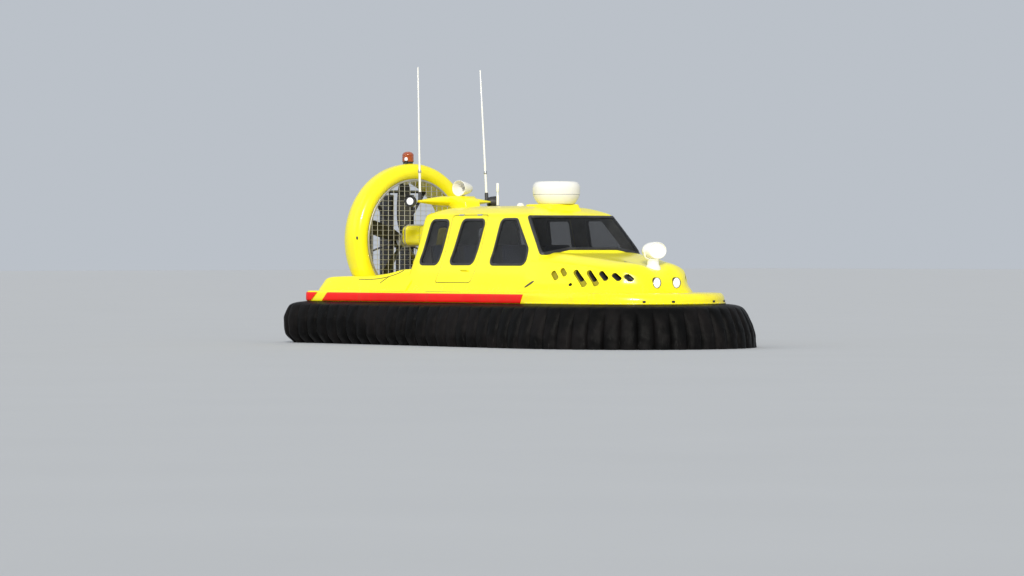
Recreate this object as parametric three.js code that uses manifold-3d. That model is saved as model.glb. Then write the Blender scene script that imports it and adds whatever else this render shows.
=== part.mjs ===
// A light amphibious rescue hovercraft, standing on its landing skids with its skirt at full height.
// Millimetres. +X points to the bow, +Y to port and +Z up. The origin is on the ground, under the
// middle of the craft's length.
import * as THREE from "three";
import { mergeVertices } from "three/addons/utils/BufferGeometryUtils.js";
import Module from "manifold-3d";

const wasm = await Module();
wasm.setup();

// Clearances: between pieces that touch, and around panels that open.
const SEAT = 0.3;
const PANEL_GAP = 8;

// The hull and its deck, seen from above: straight sides, round stern corners, an oval bow.
const HULL = { stern: -3420, bow: 3310, half: 1360, corner: 150, bowLength: 1750 };
const BOW_FULLNESS = 2.15;
const HULL_BOTTOM_Z = 200;
const HULL_CHINE_Z = 380;
const DECK_BOTTOM_Z = 592;
const DECK_TOP_Z = 740;
const BOTTOM_INSET = 430;
const CHINE_INSET = 150;
const FLANGE_WIDTH = 30;

// The crew space and the machinery spaces.
const FOOTWELL = { rear: -1340, front: 1180, half: 830, floor: 330 };
const STERN_WELL = { front: -1560, half: 960, rear: -3300, floor: 612 };
const FAN_BORE = { x: 1950, radius: 330 };
const SHELL = 40;

// The thrust duct, its propeller and its rudders turn about one line.
const DUCT = { x: -2600, z: 1460, mid: 978, lip: 118, rear: 400, segments: 40 };
const DUCT_BORE = DUCT.mid - DUCT.lip;
const DUCT_OUTER = DUCT.mid + DUCT.lip;
const PROPELLER = { x: -2790, radius: 846, blades: 5, hub: 105 };
const GUARD = { x: -2530, radius: 877.2, width: 30, thickness: 16, wire: 5, pitch: 100, cross: 420, frame: 16 };
const NACELLE = { front: -1502, rear: -2640, half: 190, bottom: 1385, top: 1668, corner: 70 };
const RUDDER = { pivot: -3120, chord: 310, spacing: 380, reach: 655 };
const RUDDER_BEAM = { offset: 700, thickness: 40, rootHalf: 530, tipHalf: 430, behind: 45 };

// Opening panels.
const DOOR = { rear: -790, front: -40, bottom: 868, hingeY: 754, hingeZ: 1800 };
const HOOD = { rear: 1455, front: 2250, half: 430, thickness: 34, hingeZ: 1273 };
const HINGE_RADIUS = 13;
const HINGE_ROOM = 1.2;

const PAINT = { yellow: 0xf2e51c, red: 0xd81414, black: 0x17181a, white: 0xf0efe8, orange: 0xe4680f };
const finish = (color, roughness, metalness = 0) =>
  new THREE.MeshStandardMaterial({ color, roughness, metalness });
const YELLOW = finish(PAINT.yellow, 0.3);
const RED = finish(PAINT.red, 0.4);
const RUBBER = finish(PAINT.black, 0.75);
const WHITE = finish(PAINT.white, 0.35);
const GLASS = finish(0x2a3036, 0.1);
const TRIM = finish(0x26282c, 0.6);
const METAL = finish(0xb4b8bb, 0.35, 0.9);
const SEAT_CLOTH = finish(0x1f2536, 0.9);
const AMBER = finish(PAINT.orange, 0.3);
const ENGINE = finish(0x4a4d50, 0.6, 0.5);

// Solids from points

function signedVolume(triangles) {
  let sum = 0;
  for (const [a, b, c] of triangles)
    sum +=
      a[0] * (b[1] * c[2] - b[2] * c[1]) +
      a[1] * (b[2] * c[0] - b[0] * c[2]) +
      a[2] * (b[0] * c[1] - b[1] * c[0]);
  return sum / 6;
}

// A three.js geometry as a manifold-3d solid, with its shared vertices merged.
function solidOf(geometry) {
  const position = (geometry.index ? geometry.toNonIndexed() : geometry).attributes.position;
  const merged = mergeVertices(new THREE.BufferGeometry().setAttribute("position", position), 1e-3);
  const corners = merged.index.array;
  const kept = [];
  for (let i = 0; i < corners.length; i += 3) {
    const [a, b, c] = corners.slice(i, i + 3);
    if (a !== b && b !== c && c !== a) kept.push(a, b, c);
  }
  const vertProperties = merged.attributes.position.array;
  return new wasm.Manifold(new wasm.Mesh({ numProp: 3, vertProperties, triVerts: Uint32Array.from(kept) }));
}

function solidOfTriangles(triangles) {
  const facingOut = signedVolume(triangles) > 0 ? triangles : triangles.map(([a, b, c]) => [a, c, b]);
  const geometry = new THREE.BufferGeometry();
  geometry.setAttribute("position", new THREE.Float32BufferAttribute(facingOut.flat(2), 3));
  return solidOf(geometry);
}

// The triangles that fill a flat ring, in the ring's own order. A ring with points in a straight
// row is filled from its middle, so that every point keeps its own corner.
function capOf(ring) {
  const normal = [0, 0, 0];
  ring.forEach((p, i) => {
    const q = ring[(i + 1) % ring.length];
    normal[0] += (p[1] - q[1]) * (p[2] + q[2]);
    normal[1] += (p[2] - q[2]) * (p[0] + q[0]);
    normal[2] += (p[0] - q[0]) * (p[1] + q[1]);
  });
  const size = normal.map(Math.abs);
  const dropped = size.indexOf(Math.max(...size));
  const [u, v] = [0, 1, 2].filter((axis) => axis !== dropped);
  const flat = ring.map((p) => new THREE.Vector2(p[u], p[v]));
  const way = Math.sign(THREE.ShapeUtils.area(flat));
  const faces = THREE.ShapeUtils.triangulateShape(flat, []);
  if (faces.length < ring.length - 2) {
    const middle = [0, 1, 2].map((axis) => ring.reduce((sum, p) => sum + p[axis], 0) / ring.length);
    return ring.map((p, i) => [middle, p, ring[(i + 1) % ring.length]]);
  }
  return faces.map(([a, b, c]) => {
    const turn = Math.sign(THREE.ShapeUtils.area([flat[a], flat[b], flat[c]]));
    return turn === way ? [ring[a], ring[b], ring[c]] : [ring[a], ring[c], ring[b]];
  });
}

// A closed solid through rings that have the same number of points.
function loft(rings) {
  const triangles = [];
  for (let r = 0; r + 1 < rings.length; r++)
    rings[r].forEach((p, i) => {
      const next = (i + 1) % rings[r].length;
      triangles.push([p, rings[r][next], rings[r + 1][next]], [p, rings[r + 1][next], rings[r + 1][i]]);
    });
  const first = capOf(rings[0]).map(([a, b, c]) => [a, c, b]);
  return solidOfTriangles([...triangles, ...first, ...capOf(rings.at(-1))]);
}

const AXES = { x: [1, 2], y: [0, 2], z: [0, 1] };
const ALONG_X = [1, 0, 0];
const ALONG_Y = [0, 1, 0];
const ALONG_Z = [0, 0, 1];

// An outline of [u, v] points, drawn across an axis and pushed along it from one place to another.
function prism(points, axis, from, to) {
  const [u, v] = AXES[axis];
  const along = "xyz".indexOf(axis);
  return loft(
    [from, to].map((place) =>
      points.map((p) => {
        const point = [0, 0, 0];
        [point[u], point[v], point[along]] = [p[0], p[1], place];
        return point;
      }),
    ),
  );
}

function block(x, y, z) {
  const geometry = new THREE.BoxGeometry(x[1] - x[0], y[1] - y[0], z[1] - z[0]);
  return solidOf(geometry.translate((x[0] + x[1]) / 2, (y[0] + y[1]) / 2, (z[0] + z[1]) / 2));
}

// A turned piece: [radius, height] points that start and end on its axis, or close on themselves.
function turned(profile, direction, at, segments = 24) {
  const lathe = new THREE.LatheGeometry(profile.map(([r, h]) => new THREE.Vector2(r, h)), segments);
  const toward = new THREE.Vector3(...direction).normalize();
  lathe.applyQuaternion(new THREE.Quaternion().setFromUnitVectors(new THREE.Vector3(0, 1, 0), toward));
  lathe.translate(...at);
  const position = lathe.toNonIndexed().attributes.position;
  const corner = (i) => [position.getX(i), position.getY(i), position.getZ(i)];
  const triangles = [];
  for (let i = 0; i < position.count; i += 3) triangles.push([corner(i), corner(i + 1), corner(i + 2)]);
  return solidOfTriangles(triangles);
}

const rod = (radius, direction, at, length, segments = 16) =>
  turned([[0, 0], [radius, 0], [radius, length], [0, length]], direction, at, segments);

// Outlines

// Corners of a polygon rounded by arcs of a few points. Nearly straight corners stay as they are.
const NEARLY_STRAIGHT = 1.45;
function rounded(points, radius, steps = 3) {
  return points.flatMap((corner, i) => {
    const toward = (p) => new THREE.Vector2(p[0] - corner[0], p[1] - corner[1]).normalize();
    const [before, after] = [toward(points.at(i - 1)), toward(points[(i + 1) % points.length])];
    const half = before.angleTo(after) / 2;
    if (half > NEARLY_STRAIGHT) return [corner];
    const centre = before.clone().add(after).normalize().multiplyScalar(radius / Math.sin(half));
    const start = before.clone().multiplyScalar(radius / Math.tan(half)).sub(centre);
    const end = after.clone().multiplyScalar(radius / Math.tan(half)).sub(centre);
    const turn = Math.atan2(start.cross(end), start.dot(end));
    return Array.from({ length: steps + 1 }, (_, k) => {
      const spoke = start.clone().rotateAround(new THREE.Vector2(), (turn * k) / steps);
      return [corner[0] + centre.x + spoke.x, corner[1] + centre.y + spoke.y];
    });
  });
}

// A polygon with each side moved in by a distance.
function inset(points, distance) {
  const turn = Math.sign(THREE.ShapeUtils.area(points.map((p) => new THREE.Vector2(...p))));
  return points.map((p, i) => {
    const sides = [[points.at(i - 1), p], [p, points[(i + 1) % points.length]]].map(([a, b]) => {
      const along = new THREE.Vector2(b[0] - a[0], b[1] - a[1]).normalize();
      return new THREE.Vector2(-along.y, along.x).multiplyScalar(turn);
    });
    const middle = sides[0].clone().add(sides[1]).normalize();
    const reach = distance / middle.dot(sides[0]);
    return [p[0] + middle.x * reach, p[1] + middle.y * reach];
  });
}

const capsule = ([x0, z0], [x1, z1], radius) => {
  const lean = Math.atan2(z1 - z0, x1 - x0);
  const end = (x, z, start) =>
    [0, 1, 2, 3].map((k) => {
      const angle = lean + start + (k * Math.PI) / 3;
      return [x + radius * Math.cos(angle), z + radius * Math.sin(angle)];
    });
  return [...end(x1, z1, -Math.PI / 2), ...end(x0, z0, Math.PI / 2)];
};

// The port half of an oval-bowed outline, from the stern to the bow on the centreline.
function halfOutline({ stern, bow, half, corner, bowLength }, cornerSteps = 5, bowSteps = 11) {
  const points = [[stern, 0]];
  for (let i = 0; i <= cornerSteps; i++) {
    const angle = ((i / cornerSteps) * Math.PI) / 2;
    points.push([stern + corner * (1 - Math.cos(angle)), half - corner * (1 - Math.sin(angle))]);
  }
  for (let i = 0; i < bowSteps; i++) {
    const angle = ((i / bowSteps) * Math.PI) / 2;
    const ahead = Math.sin(angle) ** (2 / BOW_FULLNESS);
    const aside = Math.cos(angle) ** (2 / BOW_FULLNESS);
    points.push([bow - bowLength * (1 - ahead), half * aside]);
  }
  return [...points, [bow, 0]];
}

const bothSides = (half) => [...half, ...half.slice(1, -1).reverse().map(([x, y]) => [x, -y])];

function hullRing(z, by) {
  const shape = {
    stern: HULL.stern + by,
    bow: HULL.bow - by,
    half: HULL.half - by,
    corner: Math.max(HULL.corner - by, 90),
    bowLength: HULL.bowLength - by,
  };
  return bothSides(halfOutline(shape)).map(([x, y]) => [x, y, z]);
}

// A section across the craft, from its port half of [y, z] points, bottom first.
const sectionRing = (x, half) => [
  ...half.map(([y, z]) => [x, y, z]),
  ...half.filter(([y]) => y > 0).reverse().map(([y, z]) => [x, -y, z]),
];

// The scene

const craft = new THREE.Group();

function add(name, solid, material, group = craft) {
  const { numProp, numVert, vertProperties, triVerts } = solid.getMesh();
  const positions = new Float32Array(numVert * 3);
  for (let i = 0; i < numVert; i++)
    positions.set(vertProperties.subarray(i * numProp, i * numProp + 3), i * 3);
  const geometry = new THREE.BufferGeometry();
  geometry.setAttribute("position", new THREE.BufferAttribute(positions, 3));
  geometry.setIndex(new THREE.BufferAttribute(triVerts, 1));
  const mesh = new THREE.Mesh(geometry, material);
  mesh.name = name;
  group.add(mesh);
  return mesh;
}

// Port has +Y. A piece made for port is built again from mirrored points for starboard.
const SIDES = [["port", 1], ["starboard", -1]];

// The cabin's shell, as level rings

// Columns: height, rear end, front end, half width, rear corner, front corner, bulge of the front.
const CABIN_LEVELS = [
  [DECK_TOP_Z + SEAT, -1500, 1330, 1205, 130, 130, 20],
  [860, -1500, 1330, 1110, 130, 130, 20],
  [1000, -1500, 1330, 1030, 130, 110, 20],
  [1100, -1498, 1330, 985, 130, 100, 30],
  [1300, -1490, 1300, 905, 130, 70, 60],
  [1800, -1459, 907, 752, 130, 70, 60],
  [1848, -1400, 800, 664, 150, 90, 50],
  [1902, -1255, 620, 500, 180, 110, 40],
  [1930, -1000, 380, 260, 120, 90, 20],
];
const ROOF_FROM_LEVEL = 6;
const RAKED_FROM_LEVEL = 4;

// How much further level distances run through the sloping sides and the raked front.
const SIDE_SLOPE = 1.07;
const RAKE_SLOPE = 1.27;

function cabinRing([z, rear, front, half, rearCorner, frontCorner, bulge]) {
  const points = [[rear, 0]];
  for (let i = 0; i <= 3; i++) {
    const angle = (i * Math.PI) / 6;
    points.push([rear + rearCorner * (1 - Math.cos(angle)), half - rearCorner * (1 - Math.sin(angle))]);
  }
  const edge = front - bulge;
  for (let i = 0; i <= 3; i++) {
    const angle = (i * Math.PI) / 6;
    points.push([edge - frontCorner * (1 - Math.sin(angle)), half - frontCorner * (1 - Math.cos(angle))]);
  }
  for (const share of [0.6, 0.3]) points.push([front - bulge * share * share, half * share]);
  return bothSides([...points, [front, 0]]).map(([x, y]) => [x, y, z]);
}

// The cabin's outer form with its skin moved in by a distance, or out where it is negative.
// A lower bottom is reached by walls straight down from the lowest level.
function cabinBody(by, bottom = null) {
  const rings = CABIN_LEVELS.map(([z, rear, front, half, rearCorner, frontCorner, bulge], i) => {
    const lowered = i >= ROOF_FROM_LEVEL ? (by * (i - ROOF_FROM_LEVEL + 2)) / 4 : 0;
    const ahead = front - (i >= RAKED_FROM_LEVEL ? by * RAKE_SLOPE : by);
    const corners = [rearCorner, frontCorner].map((corner) => Math.max(corner - by, 20));
    return cabinRing([z - lowered, rear + by, ahead, half - by * SIDE_SLOPE, ...corners, bulge]);
  });
  if (bottom !== null) rings.unshift(rings[0].map(([x, y]) => [x, y, bottom]));
  return loft(rings);
}

const cabinOuter = cabinBody(0);
const cabinInner = cabinBody(SHELL, DECK_TOP_Z - 10);
const cabinGrown = cabinBody(-SEAT, DECK_TOP_Z - 1);
const cabinGlassLayer = cabinBody(12, DECK_TOP_Z - 10).subtract(cabinBody(20, DECK_TOP_Z - 20));

// Window outlines as [x, z] corners on the cabin's side, and [y, z] on its front and rear.
const REAR_WINDOW_SIDE = [[-1285, 1118], [-885, 1118], [-837, 1734], [-1210, 1734]];
const DOOR_WINDOW = [[-635, 1122], [-140, 1122], [-75, 1738], [-545, 1738]];
const FRONT_WINDOW_SIDE = [[222, 1118], [962, 1118], [935, 1330], [590, 1740], [270, 1740]];
const WINDSCREEN = [[-870, 1302], [-450, 1335], [450, 1335], [870, 1302], [716, 1776], [-716, 1776]];
const REAR_WINDOW = [[560, 1200], [280, 1200], [250, 1650], [480, 1650]];
const WINDOW_CORNER = 75;
const WINDSCREEN_CORNER = 50;
const REAR_GLASS_FROM = -1600;
const REAR_GLASS_TO = -1300;
const SIDE_CUT = [300, 1500];

// The windscreen's outline carried through the raked front only, clear of the side windows.
function rakedOpening(outline) {
  const foot = CABIN_LEVELS[RAKED_FROM_LEVEL];
  const head = CABIN_LEVELS[RAKED_FROM_LEVEL + 1];
  const frontAt = (z) => foot[2] + ((z - foot[0]) * (head[2] - foot[2])) / (head[0] - foot[0]);
  return loft([-150, 150].map((away) => outline.map(([y, z]) => [frontAt(z) + away, y, z])));
}

const throughSide = (outline, side) => prism(outline, "y", ...SIDE_CUT.map((y) => side * y));
const sideOpening = (outline, side) => throughSide(rounded(outline, WINDOW_CORNER), side);
const sidePane = (outline, side) =>
  cabinGlassLayer.intersect(throughSide(rounded(inset(outline, SEAT), WINDOW_CORNER - SEAT), side));
const rearOpening = (outline, corner) => prism(rounded(outline, corner), "x", REAR_GLASS_FROM, REAR_GLASS_TO);

const doorOutline = (by) =>
  rounded(
    inset(
      [[DOOR.rear, DOOR.bottom], [DOOR.front, DOOR.bottom], [DOOR.front, DOOR.hingeZ], [DOOR.rear, DOOR.hingeZ]],
      by,
    ),
    45,
  );

// Two barrels on the door's hinge line, just under the roof's edge.
const HINGE_PLACES = [DOOR.rear + 130, DOOR.front - 230];
const HINGE_LENGTH = 100;
const doorBarrels = (side, radius, extra) =>
  HINGE_PLACES.map((x) => {
    const at = [x - extra, side * DOOR.hingeY, DOOR.hingeZ];
    return rod(radius, ALONG_X, at, HINGE_LENGTH + 2 * extra, 12);
  });

function buildCabin() {
  let shell = cabinOuter.subtract(cabinInner);
  shell = shell.subtract(rakedOpening(rounded(WINDSCREEN, WINDSCREEN_CORNER)));
  for (const [name, side] of SIDES) {
    for (const outline of [REAR_WINDOW_SIDE, FRONT_WINDOW_SIDE]) shell = shell.subtract(sideOpening(outline, side));
    shell = shell.subtract(throughSide(doorOutline(-PANEL_GAP / 2), side));
    for (const barrel of doorBarrels(side, HINGE_RADIUS + HINGE_ROOM, SEAT)) shell = shell.subtract(barrel);
    const rearOutline = REAR_WINDOW.map(([y, z]) => [side * y, z]);
    shell = shell.subtract(rearOpening(rearOutline, WINDOW_CORNER));
    add(`side_window_rear_${name}`, sidePane(REAR_WINDOW_SIDE, side), GLASS);
    add(`side_window_front_${name}`, sidePane(FRONT_WINDOW_SIDE, side), GLASS);
    const rearPane = rearOpening(inset(rearOutline, SEAT), WINDOW_CORNER - SEAT);
    add(`rear_window_${name}`, cabinGlassLayer.intersect(rearPane), GLASS);
    let door = cabinOuter.subtract(cabinInner).intersect(throughSide(doorOutline(PANEL_GAP / 2), side));
    door = door.subtract(sideOpening(DOOR_WINDOW, side));
    for (const barrel of doorBarrels(side, HINGE_RADIUS, 0)) door = door.add(barrel);
    add(`door_${name}`, door, YELLOW);
    add(`door_window_${name}`, sidePane(DOOR_WINDOW, side), GLASS);
  }
  add("cabin_shell", shell, YELLOW);
  const pane = rounded(inset(WINDSCREEN, SEAT), WINDSCREEN_CORNER - SEAT);
  add("windscreen", cabinGlassLayer.intersect(rakedOpening(pane)), GLASS);
}

// The hull, the deck moulding and the hood

// Columns: station, half width at the deck, half width at the top, top height.
const COAMING_STATIONS = [
  [-3310, 1100, 1050, 790],
  [-3270, 1165, 1095, 860],
  [-3200, 1210, 1120, 915],
  [-3060, 1240, 1135, 938],
  [-2200, 1240, 1120, 957],
  [-1850, 1235, 1090, 990],
  [-1560, 1212, 1015, 1045],
  [-1300, 1205, 985, 1055],
];

// Columns: station, then half width and height of the side's foot, shoulder and hump; centre height.
const NOSE_STATIONS = [
  [1080, 1225, 1108, 900, 985, 1150, 700, 1290, 1300],
  [1300, 1205, 1095, 900, 965, 1148, 690, 1280, 1290],
  [1700, 1110, 1000, 890, 885, 1120, 590, 1235, 1240],
  [2150, 920, 820, 870, 735, 1075, 440, 1170, 1150],
  [2480, 710, 630, 850, 570, 1020, 330, 1125, 1070],
  [2600, 600, 510, 840, 460, 970, 270, 1065, 1030],
  [2690, 480, 400, 820, 350, 900, 210, 970, 955],
  [2740, 380, 310, 790, 260, 850, 150, 880, 875],
];

function noseBody(by, bottom, stations = NOSE_STATIONS) {
  return loft(
    stations.map(([x, deck, side, sideZ, shoulder, shoulderZ, hump, humpZ, centreZ]) =>
      sectionRing(x, [
        [0, bottom],
        [deck - by, bottom],
        [side - by, sideZ - by / 4],
        [shoulder - by, shoulderZ - by / 2],
        [hump - by / 2, humpZ - by],
        [0, centreZ - by],
      ]),
    ),
  );
}

// Louvres in the side of the nose. Columns: station and height of the top end, then of the low end.
const LOUVRES = [
  [1560, 1005, 1630, 940],
  [1675, 1045, 1885, 850],
  [1885, 1020, 2065, 850],
  [2070, 1015, 2215, 860],
  [2235, 1005, 2310, 930],
  [2400, 980, 2460, 930],
  [2535, 965, 2575, 922],
];
const LOUVRE = { radius: 33, depth: 230, beyond: 200 };

const SEARCHLIGHT = { x: 2470, root: 1000, neck: 80, post: 165 };
const LAMP = { x: 2680, y: 180, z: 877, radius: 72, depth: 60 };
const CHAMBER_ENDS = [1400, 2370];
const CHAMBER_SKIN = 75;

const fanBore = (radius, from, to) => rod(radius, ALONG_Z, [FAN_BORE.x, 0, from], to - from, 28);
const ductBarrel = (grow) => {
  const [radius, rear, front] = [DUCT_OUTER + grow, -DUCT.rear - 20, DUCT.lip + 160];
  const profile = [[0, rear], [radius, rear], [radius, front], [0, front]];
  return turned(profile, ALONG_X, [DUCT.x, 0, DUCT.z], DUCT.segments);
};

function buildHull() {
  const hull = loft([
    hullRing(HULL_BOTTOM_Z, BOTTOM_INSET),
    hullRing(HULL_CHINE_Z, CHINE_INSET),
    hullRing(DECK_BOTTOM_Z - SEAT, FLANGE_WIDTH),
  ])
    .subtract(block([FOOTWELL.rear, FOOTWELL.front], [-FOOTWELL.half, FOOTWELL.half], [FOOTWELL.floor, 700]))
    .subtract(fanBore(FAN_BORE.radius, 100, 700))
    .subtract(ductBarrel(SEAT));
  add("hull", hull.add(fanSpider()), YELLOW);
  for (const [name, side] of SIDES) {
    const top = HULL_BOTTOM_Z - SEAT;
    const profile = [[-2650, 60], [-2560, 0], [2050, 0], [2250, 90], [2250, top], [-2650, top]];
    add(`landing_skid_${name}`, prism(profile, "y", side * 540, side * 610), METAL);
  }
}

const HOOD_TAPER = 90;
const hoodOutline = (by) => {
  const corners = [[HOOD.rear, -HOOD.half], [HOOD.front, -HOOD.half + HOOD_TAPER]];
  return rounded(inset([...corners, ...corners.map(([x, y]) => [x, -y]).reverse()], by), 60);
};
const hoodBarrels = (radius, extra) =>
  [-300, 200].map((y) => rod(radius, ALONG_Y, [HOOD.rear, y - extra, HOOD.hingeZ], 100 + 2 * extra, 12));

// The deck's edge: columns are height, then how far it lies in at the sides and at the bow.
const DECK_EDGE = [
  [DECK_BOTTOM_Z, 0, 0],
  [650, 0, 0],
  [DECK_TOP_Z - 18, 4, 55],
  [DECK_TOP_Z, 25, 95],
];
const BURIED = 6;

function deckRing([z, side, bow]) {
  const { stern, corner, half, bowLength } = HULL;
  const plan = { stern: stern + side, half: half - side, corner };
  const shape = { ...plan, bow: HULL.bow - bow, bowLength: bowLength - bow };
  return bothSides(halfOutline(shape)).map(([x, y]) => [x, y, z]);
}

function buildDeck() {
  const low = DECK_TOP_Z - BURIED;
  const coaming = loft(
    COAMING_STATIONS.map(([x, deck, top, topZ]) =>
      sectionRing(x, [[0, low], [deck, low], [top, topZ - 30], [top - 35, topZ], [0, topZ]]),
    ),
  );
  const cabinHole = cabinRing([0, -1460, 1290, 1150, 110, 110, 0]).map(([x, y]) => [x, y]);
  const bay = noseBody(CHAMBER_SKIN, DECK_BOTTOM_Z - 20, NOSE_STATIONS.slice(1, 5)).intersect(
    block(CHAMBER_ENDS, [-800, 800], [500, 1400]),
  );
  let deck = loft(DECK_EDGE.map(deckRing)).add(noseBody(0, low)).add(coaming);
  deck = deck.subtract(cabinGrown).subtract(prism(cabinHole, "z", 500, DECK_TOP_Z + 5));
  const wellWidth = [-STERN_WELL.half, STERN_WELL.half];
  deck = deck.subtract(block([STERN_WELL.rear, STERN_WELL.front], wellWidth, [STERN_WELL.floor, 1400]));
  deck = deck.subtract(block([-3600, STERN_WELL.front], wellWidth, [DECK_TOP_Z, 1400]));
  deck = deck.subtract(ductBarrel(SEAT)).subtract(bay);
  deck = deck.subtract(prism(hoodOutline(-PANEL_GAP / 2), "z", 1000, 1500));
  for (const barrel of hoodBarrels(HINGE_RADIUS + HINGE_ROOM, SEAT)) deck = deck.subtract(barrel);
  for (const [, side] of SIDES) {
    for (const [x, z, lowX, lowZ] of LOUVRES) {
      const wall = Math.max(noseHalf(x), noseHalf(lowX));
      const slot = capsule([x, z], [lowX, lowZ], LOUVRE.radius);
      deck = deck.subtract(prism(slot, "y", side * (wall - LOUVRE.depth), side * (wall + LOUVRE.beyond)));
    }
    const bore = [LAMP.x - LAMP.depth - SEAT, side * LAMP.y, LAMP.z];
    deck = deck.subtract(rod(LAMP.radius + SEAT, ALONG_X, bore, 200, 20));
  }
  add("deck_moulding", deck, YELLOW);

  const skin = noseBody(0, DECK_TOP_Z).subtract(noseBody(HOOD.thickness, DECK_TOP_Z - 100));
  let hood = skin.intersect(prism(hoodOutline(PANEL_GAP / 2), "z", 1000, 1500));
  for (const barrel of hoodBarrels(HINGE_RADIUS, 0)) hood = hood.add(barrel);
  add("hood", hood, YELLOW);
}

// The nose's half width at its side, between its stations.
function noseHalf(x) {
  const i = NOSE_STATIONS.findIndex((station) => station[0] >= x);
  const [a, b] = [NOSE_STATIONS[i - 1], NOSE_STATIONS[i]];
  const share = (x - a[0]) / (b[0] - a[0]);
  return a[2] + (b[2] - a[2]) * share;
}

// Walking round the hull's edge

// Stations along the outline, from the middle of the stern round one side to the bow.
function edgeWalk() {
  const outline = halfOutline(HULL, 16, 60).map((p) => new THREE.Vector2(...p));
  const lengths = [0];
  for (let i = 1; i < outline.length; i++)
    lengths.push(lengths[i - 1] + outline[i].distanceTo(outline[i - 1]));
  const at = (s) => {
    const found = lengths.findIndex((length) => length > s);
    const i = found < 0 ? outline.length - 1 : found;
    const share = (s - lengths[i - 1]) / (lengths[i] - lengths[i - 1]);
    return outline[i - 1].clone().lerp(outline[i], share);
  };
  const total = lengths.at(-1);
  return {
    total,
    station(s) {
      const [before, after] = [at(Math.max(s - 40, 0)), at(Math.min(s + 40, total))];
      const along = after.sub(before).normalize();
      if (s <= 0) along.set(0, 1);
      if (s >= total) along.set(0, -1);
      const place = at(Math.min(Math.max(s, 0), total));
      return { x: place.x, y: place.y, nx: -along.y, ny: along.x };
    },
    lengthAtX(x) {
      const i = outline.findIndex((p, k) => k > 20 && p.x >= x);
      const share = (x - outline[i - 1].x) / (outline[i].x - outline[i - 1].x);
      return lengths[i - 1] + (lengths[i] - lengths[i - 1]) * share;
    },
  };
}
const EDGE = edgeWalk();

// A section of [outward, height] points carried along the edge. Negative lengths are on starboard.
function sweep(lengths, sectionAt) {
  return loft(
    lengths.map((s) => {
      const side = s < 0 ? -1 : 1;
      const { x, y, nx, ny } = EDGE.station(s < 0 ? -s : s);
      return sectionAt(x, s).map(([n, z]) => [x + nx * n, side * (y + ny * n), z]);
    }),
  );
}

// The skirt: columns are height, reach outward at the bow and at the stern, depth of the pleats.
const SKIRT_OUTER = [
  [DECK_BOTTOM_Z - SEAT, -2, -2, 0],
  [575, 145, 140, 0],
  [540, 235, 235, 10],
  [430, 305, 290, 30],
  [320, 345, 308, 45],
  [150, 393, 290, 50],
  [3, 402, 165, 50],
];
const SKIRT_INNER = [[3, 310, 90], [200, 60, 10], [378, -175, -175], [DECK_BOTTOM_Z - SEAT, -60, -60]];
const FINGER = 220;
const FINGER_REACH = 300;
const SKIRT_SPLIT = { stern: -2950, bow: 1450 };

function skirtSection(x, pleat) {
  const share = THREE.MathUtils.smoothstep(x, -3200, 2900);
  const outer = SKIRT_OUTER.map(([z, bow, stern, depth]) => [stern + (bow - stern) * share + pleat * depth, z]);
  const inner = SKIRT_INNER.map(([z, bow, stern]) => [stern + (bow - stern) * share, z]);
  return [...outer, ...inner];
}

// Lengths from one end to the other, two to a finger, with a hair of room at each end. The fingers
// are as wide as each other where they stand out from the hull, so they crowd at its corners.
function fingerLengths(from, to) {
  const steps = Math.ceil((to - from) / 20);
  const step = (to - from - SEAT) / steps;
  const walk = Array.from({ length: steps + 1 }, (_, i) => from + SEAT / 2 + i * step);
  const outer = walk.map((s) => {
    const { x, y, nx, ny } = EDGE.station(Math.abs(s));
    const side = s < 0 ? -1 : 1;
    return new THREE.Vector2(x + nx * FINGER_REACH, side * (y + ny * FINGER_REACH));
  });
  const run = [0];
  for (let i = 1; i < outer.length; i++) run.push(run[i - 1] + outer[i].distanceTo(outer[i - 1]));
  const count = 2 * Math.round(run.at(-1) / FINGER);
  return Array.from({ length: count + 1 }, (_, k) => {
    const wanted = (run.at(-1) * k) / count;
    const i = Math.max(1, run.findIndex((length) => length >= wanted - 1e-6));
    return walk[i - 1] + ((walk[i] - walk[i - 1]) * (wanted - run[i - 1])) / (run[i] - run[i - 1]);
  });
}

function buildSkirt() {
  const hullGrown = loft([
    hullRing(HULL_BOTTOM_Z - SEAT, BOTTOM_INSET - SEAT),
    hullRing(HULL_CHINE_Z - SEAT, CHINE_INSET - SEAT),
    hullRing(DECK_BOTTOM_Z, FLANGE_WIDTH - SEAT),
  ]);
  const [rear, front] = [EDGE.lengthAtX(SKIRT_SPLIT.stern), EDGE.lengthAtX(SKIRT_SPLIT.bow)];
  const pleated = (lengths) =>
    sweep(lengths, (x, s) => skirtSection(x, lengths.indexOf(s) % 2 ? 0.5 : -0.5)).subtract(hullGrown);
  add("skirt_stern", pleated(fingerLengths(-rear, rear)), RUBBER);
  add("skirt_port", pleated(fingerLengths(rear, front)), RUBBER);
  add("skirt_starboard", pleated(fingerLengths(rear, front).map((s) => -s)), RUBBER);
  const bowHalf = fingerLengths(front, EDGE.total - SEAT / 2);
  const whole = [...bowHalf.slice(0, -1), EDGE.total, ...bowHalf.slice(0, -1).reverse().map((s) => -s)];
  add("skirt_bow", pleated(whole), RUBBER);
}

// The red rubbing strip ends in a slant on each side and is broken by a yellow slash near the stern.
const STRAKE = { bottom: 597, top: 724, proud: 9, bevel: 12, root: -20, split: -3050, end: 1375, slant: 75 };
const SLASH = { lowRear: -3245, lowFront: -2990, highRear: -3035, highFront: -2800 };

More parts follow.
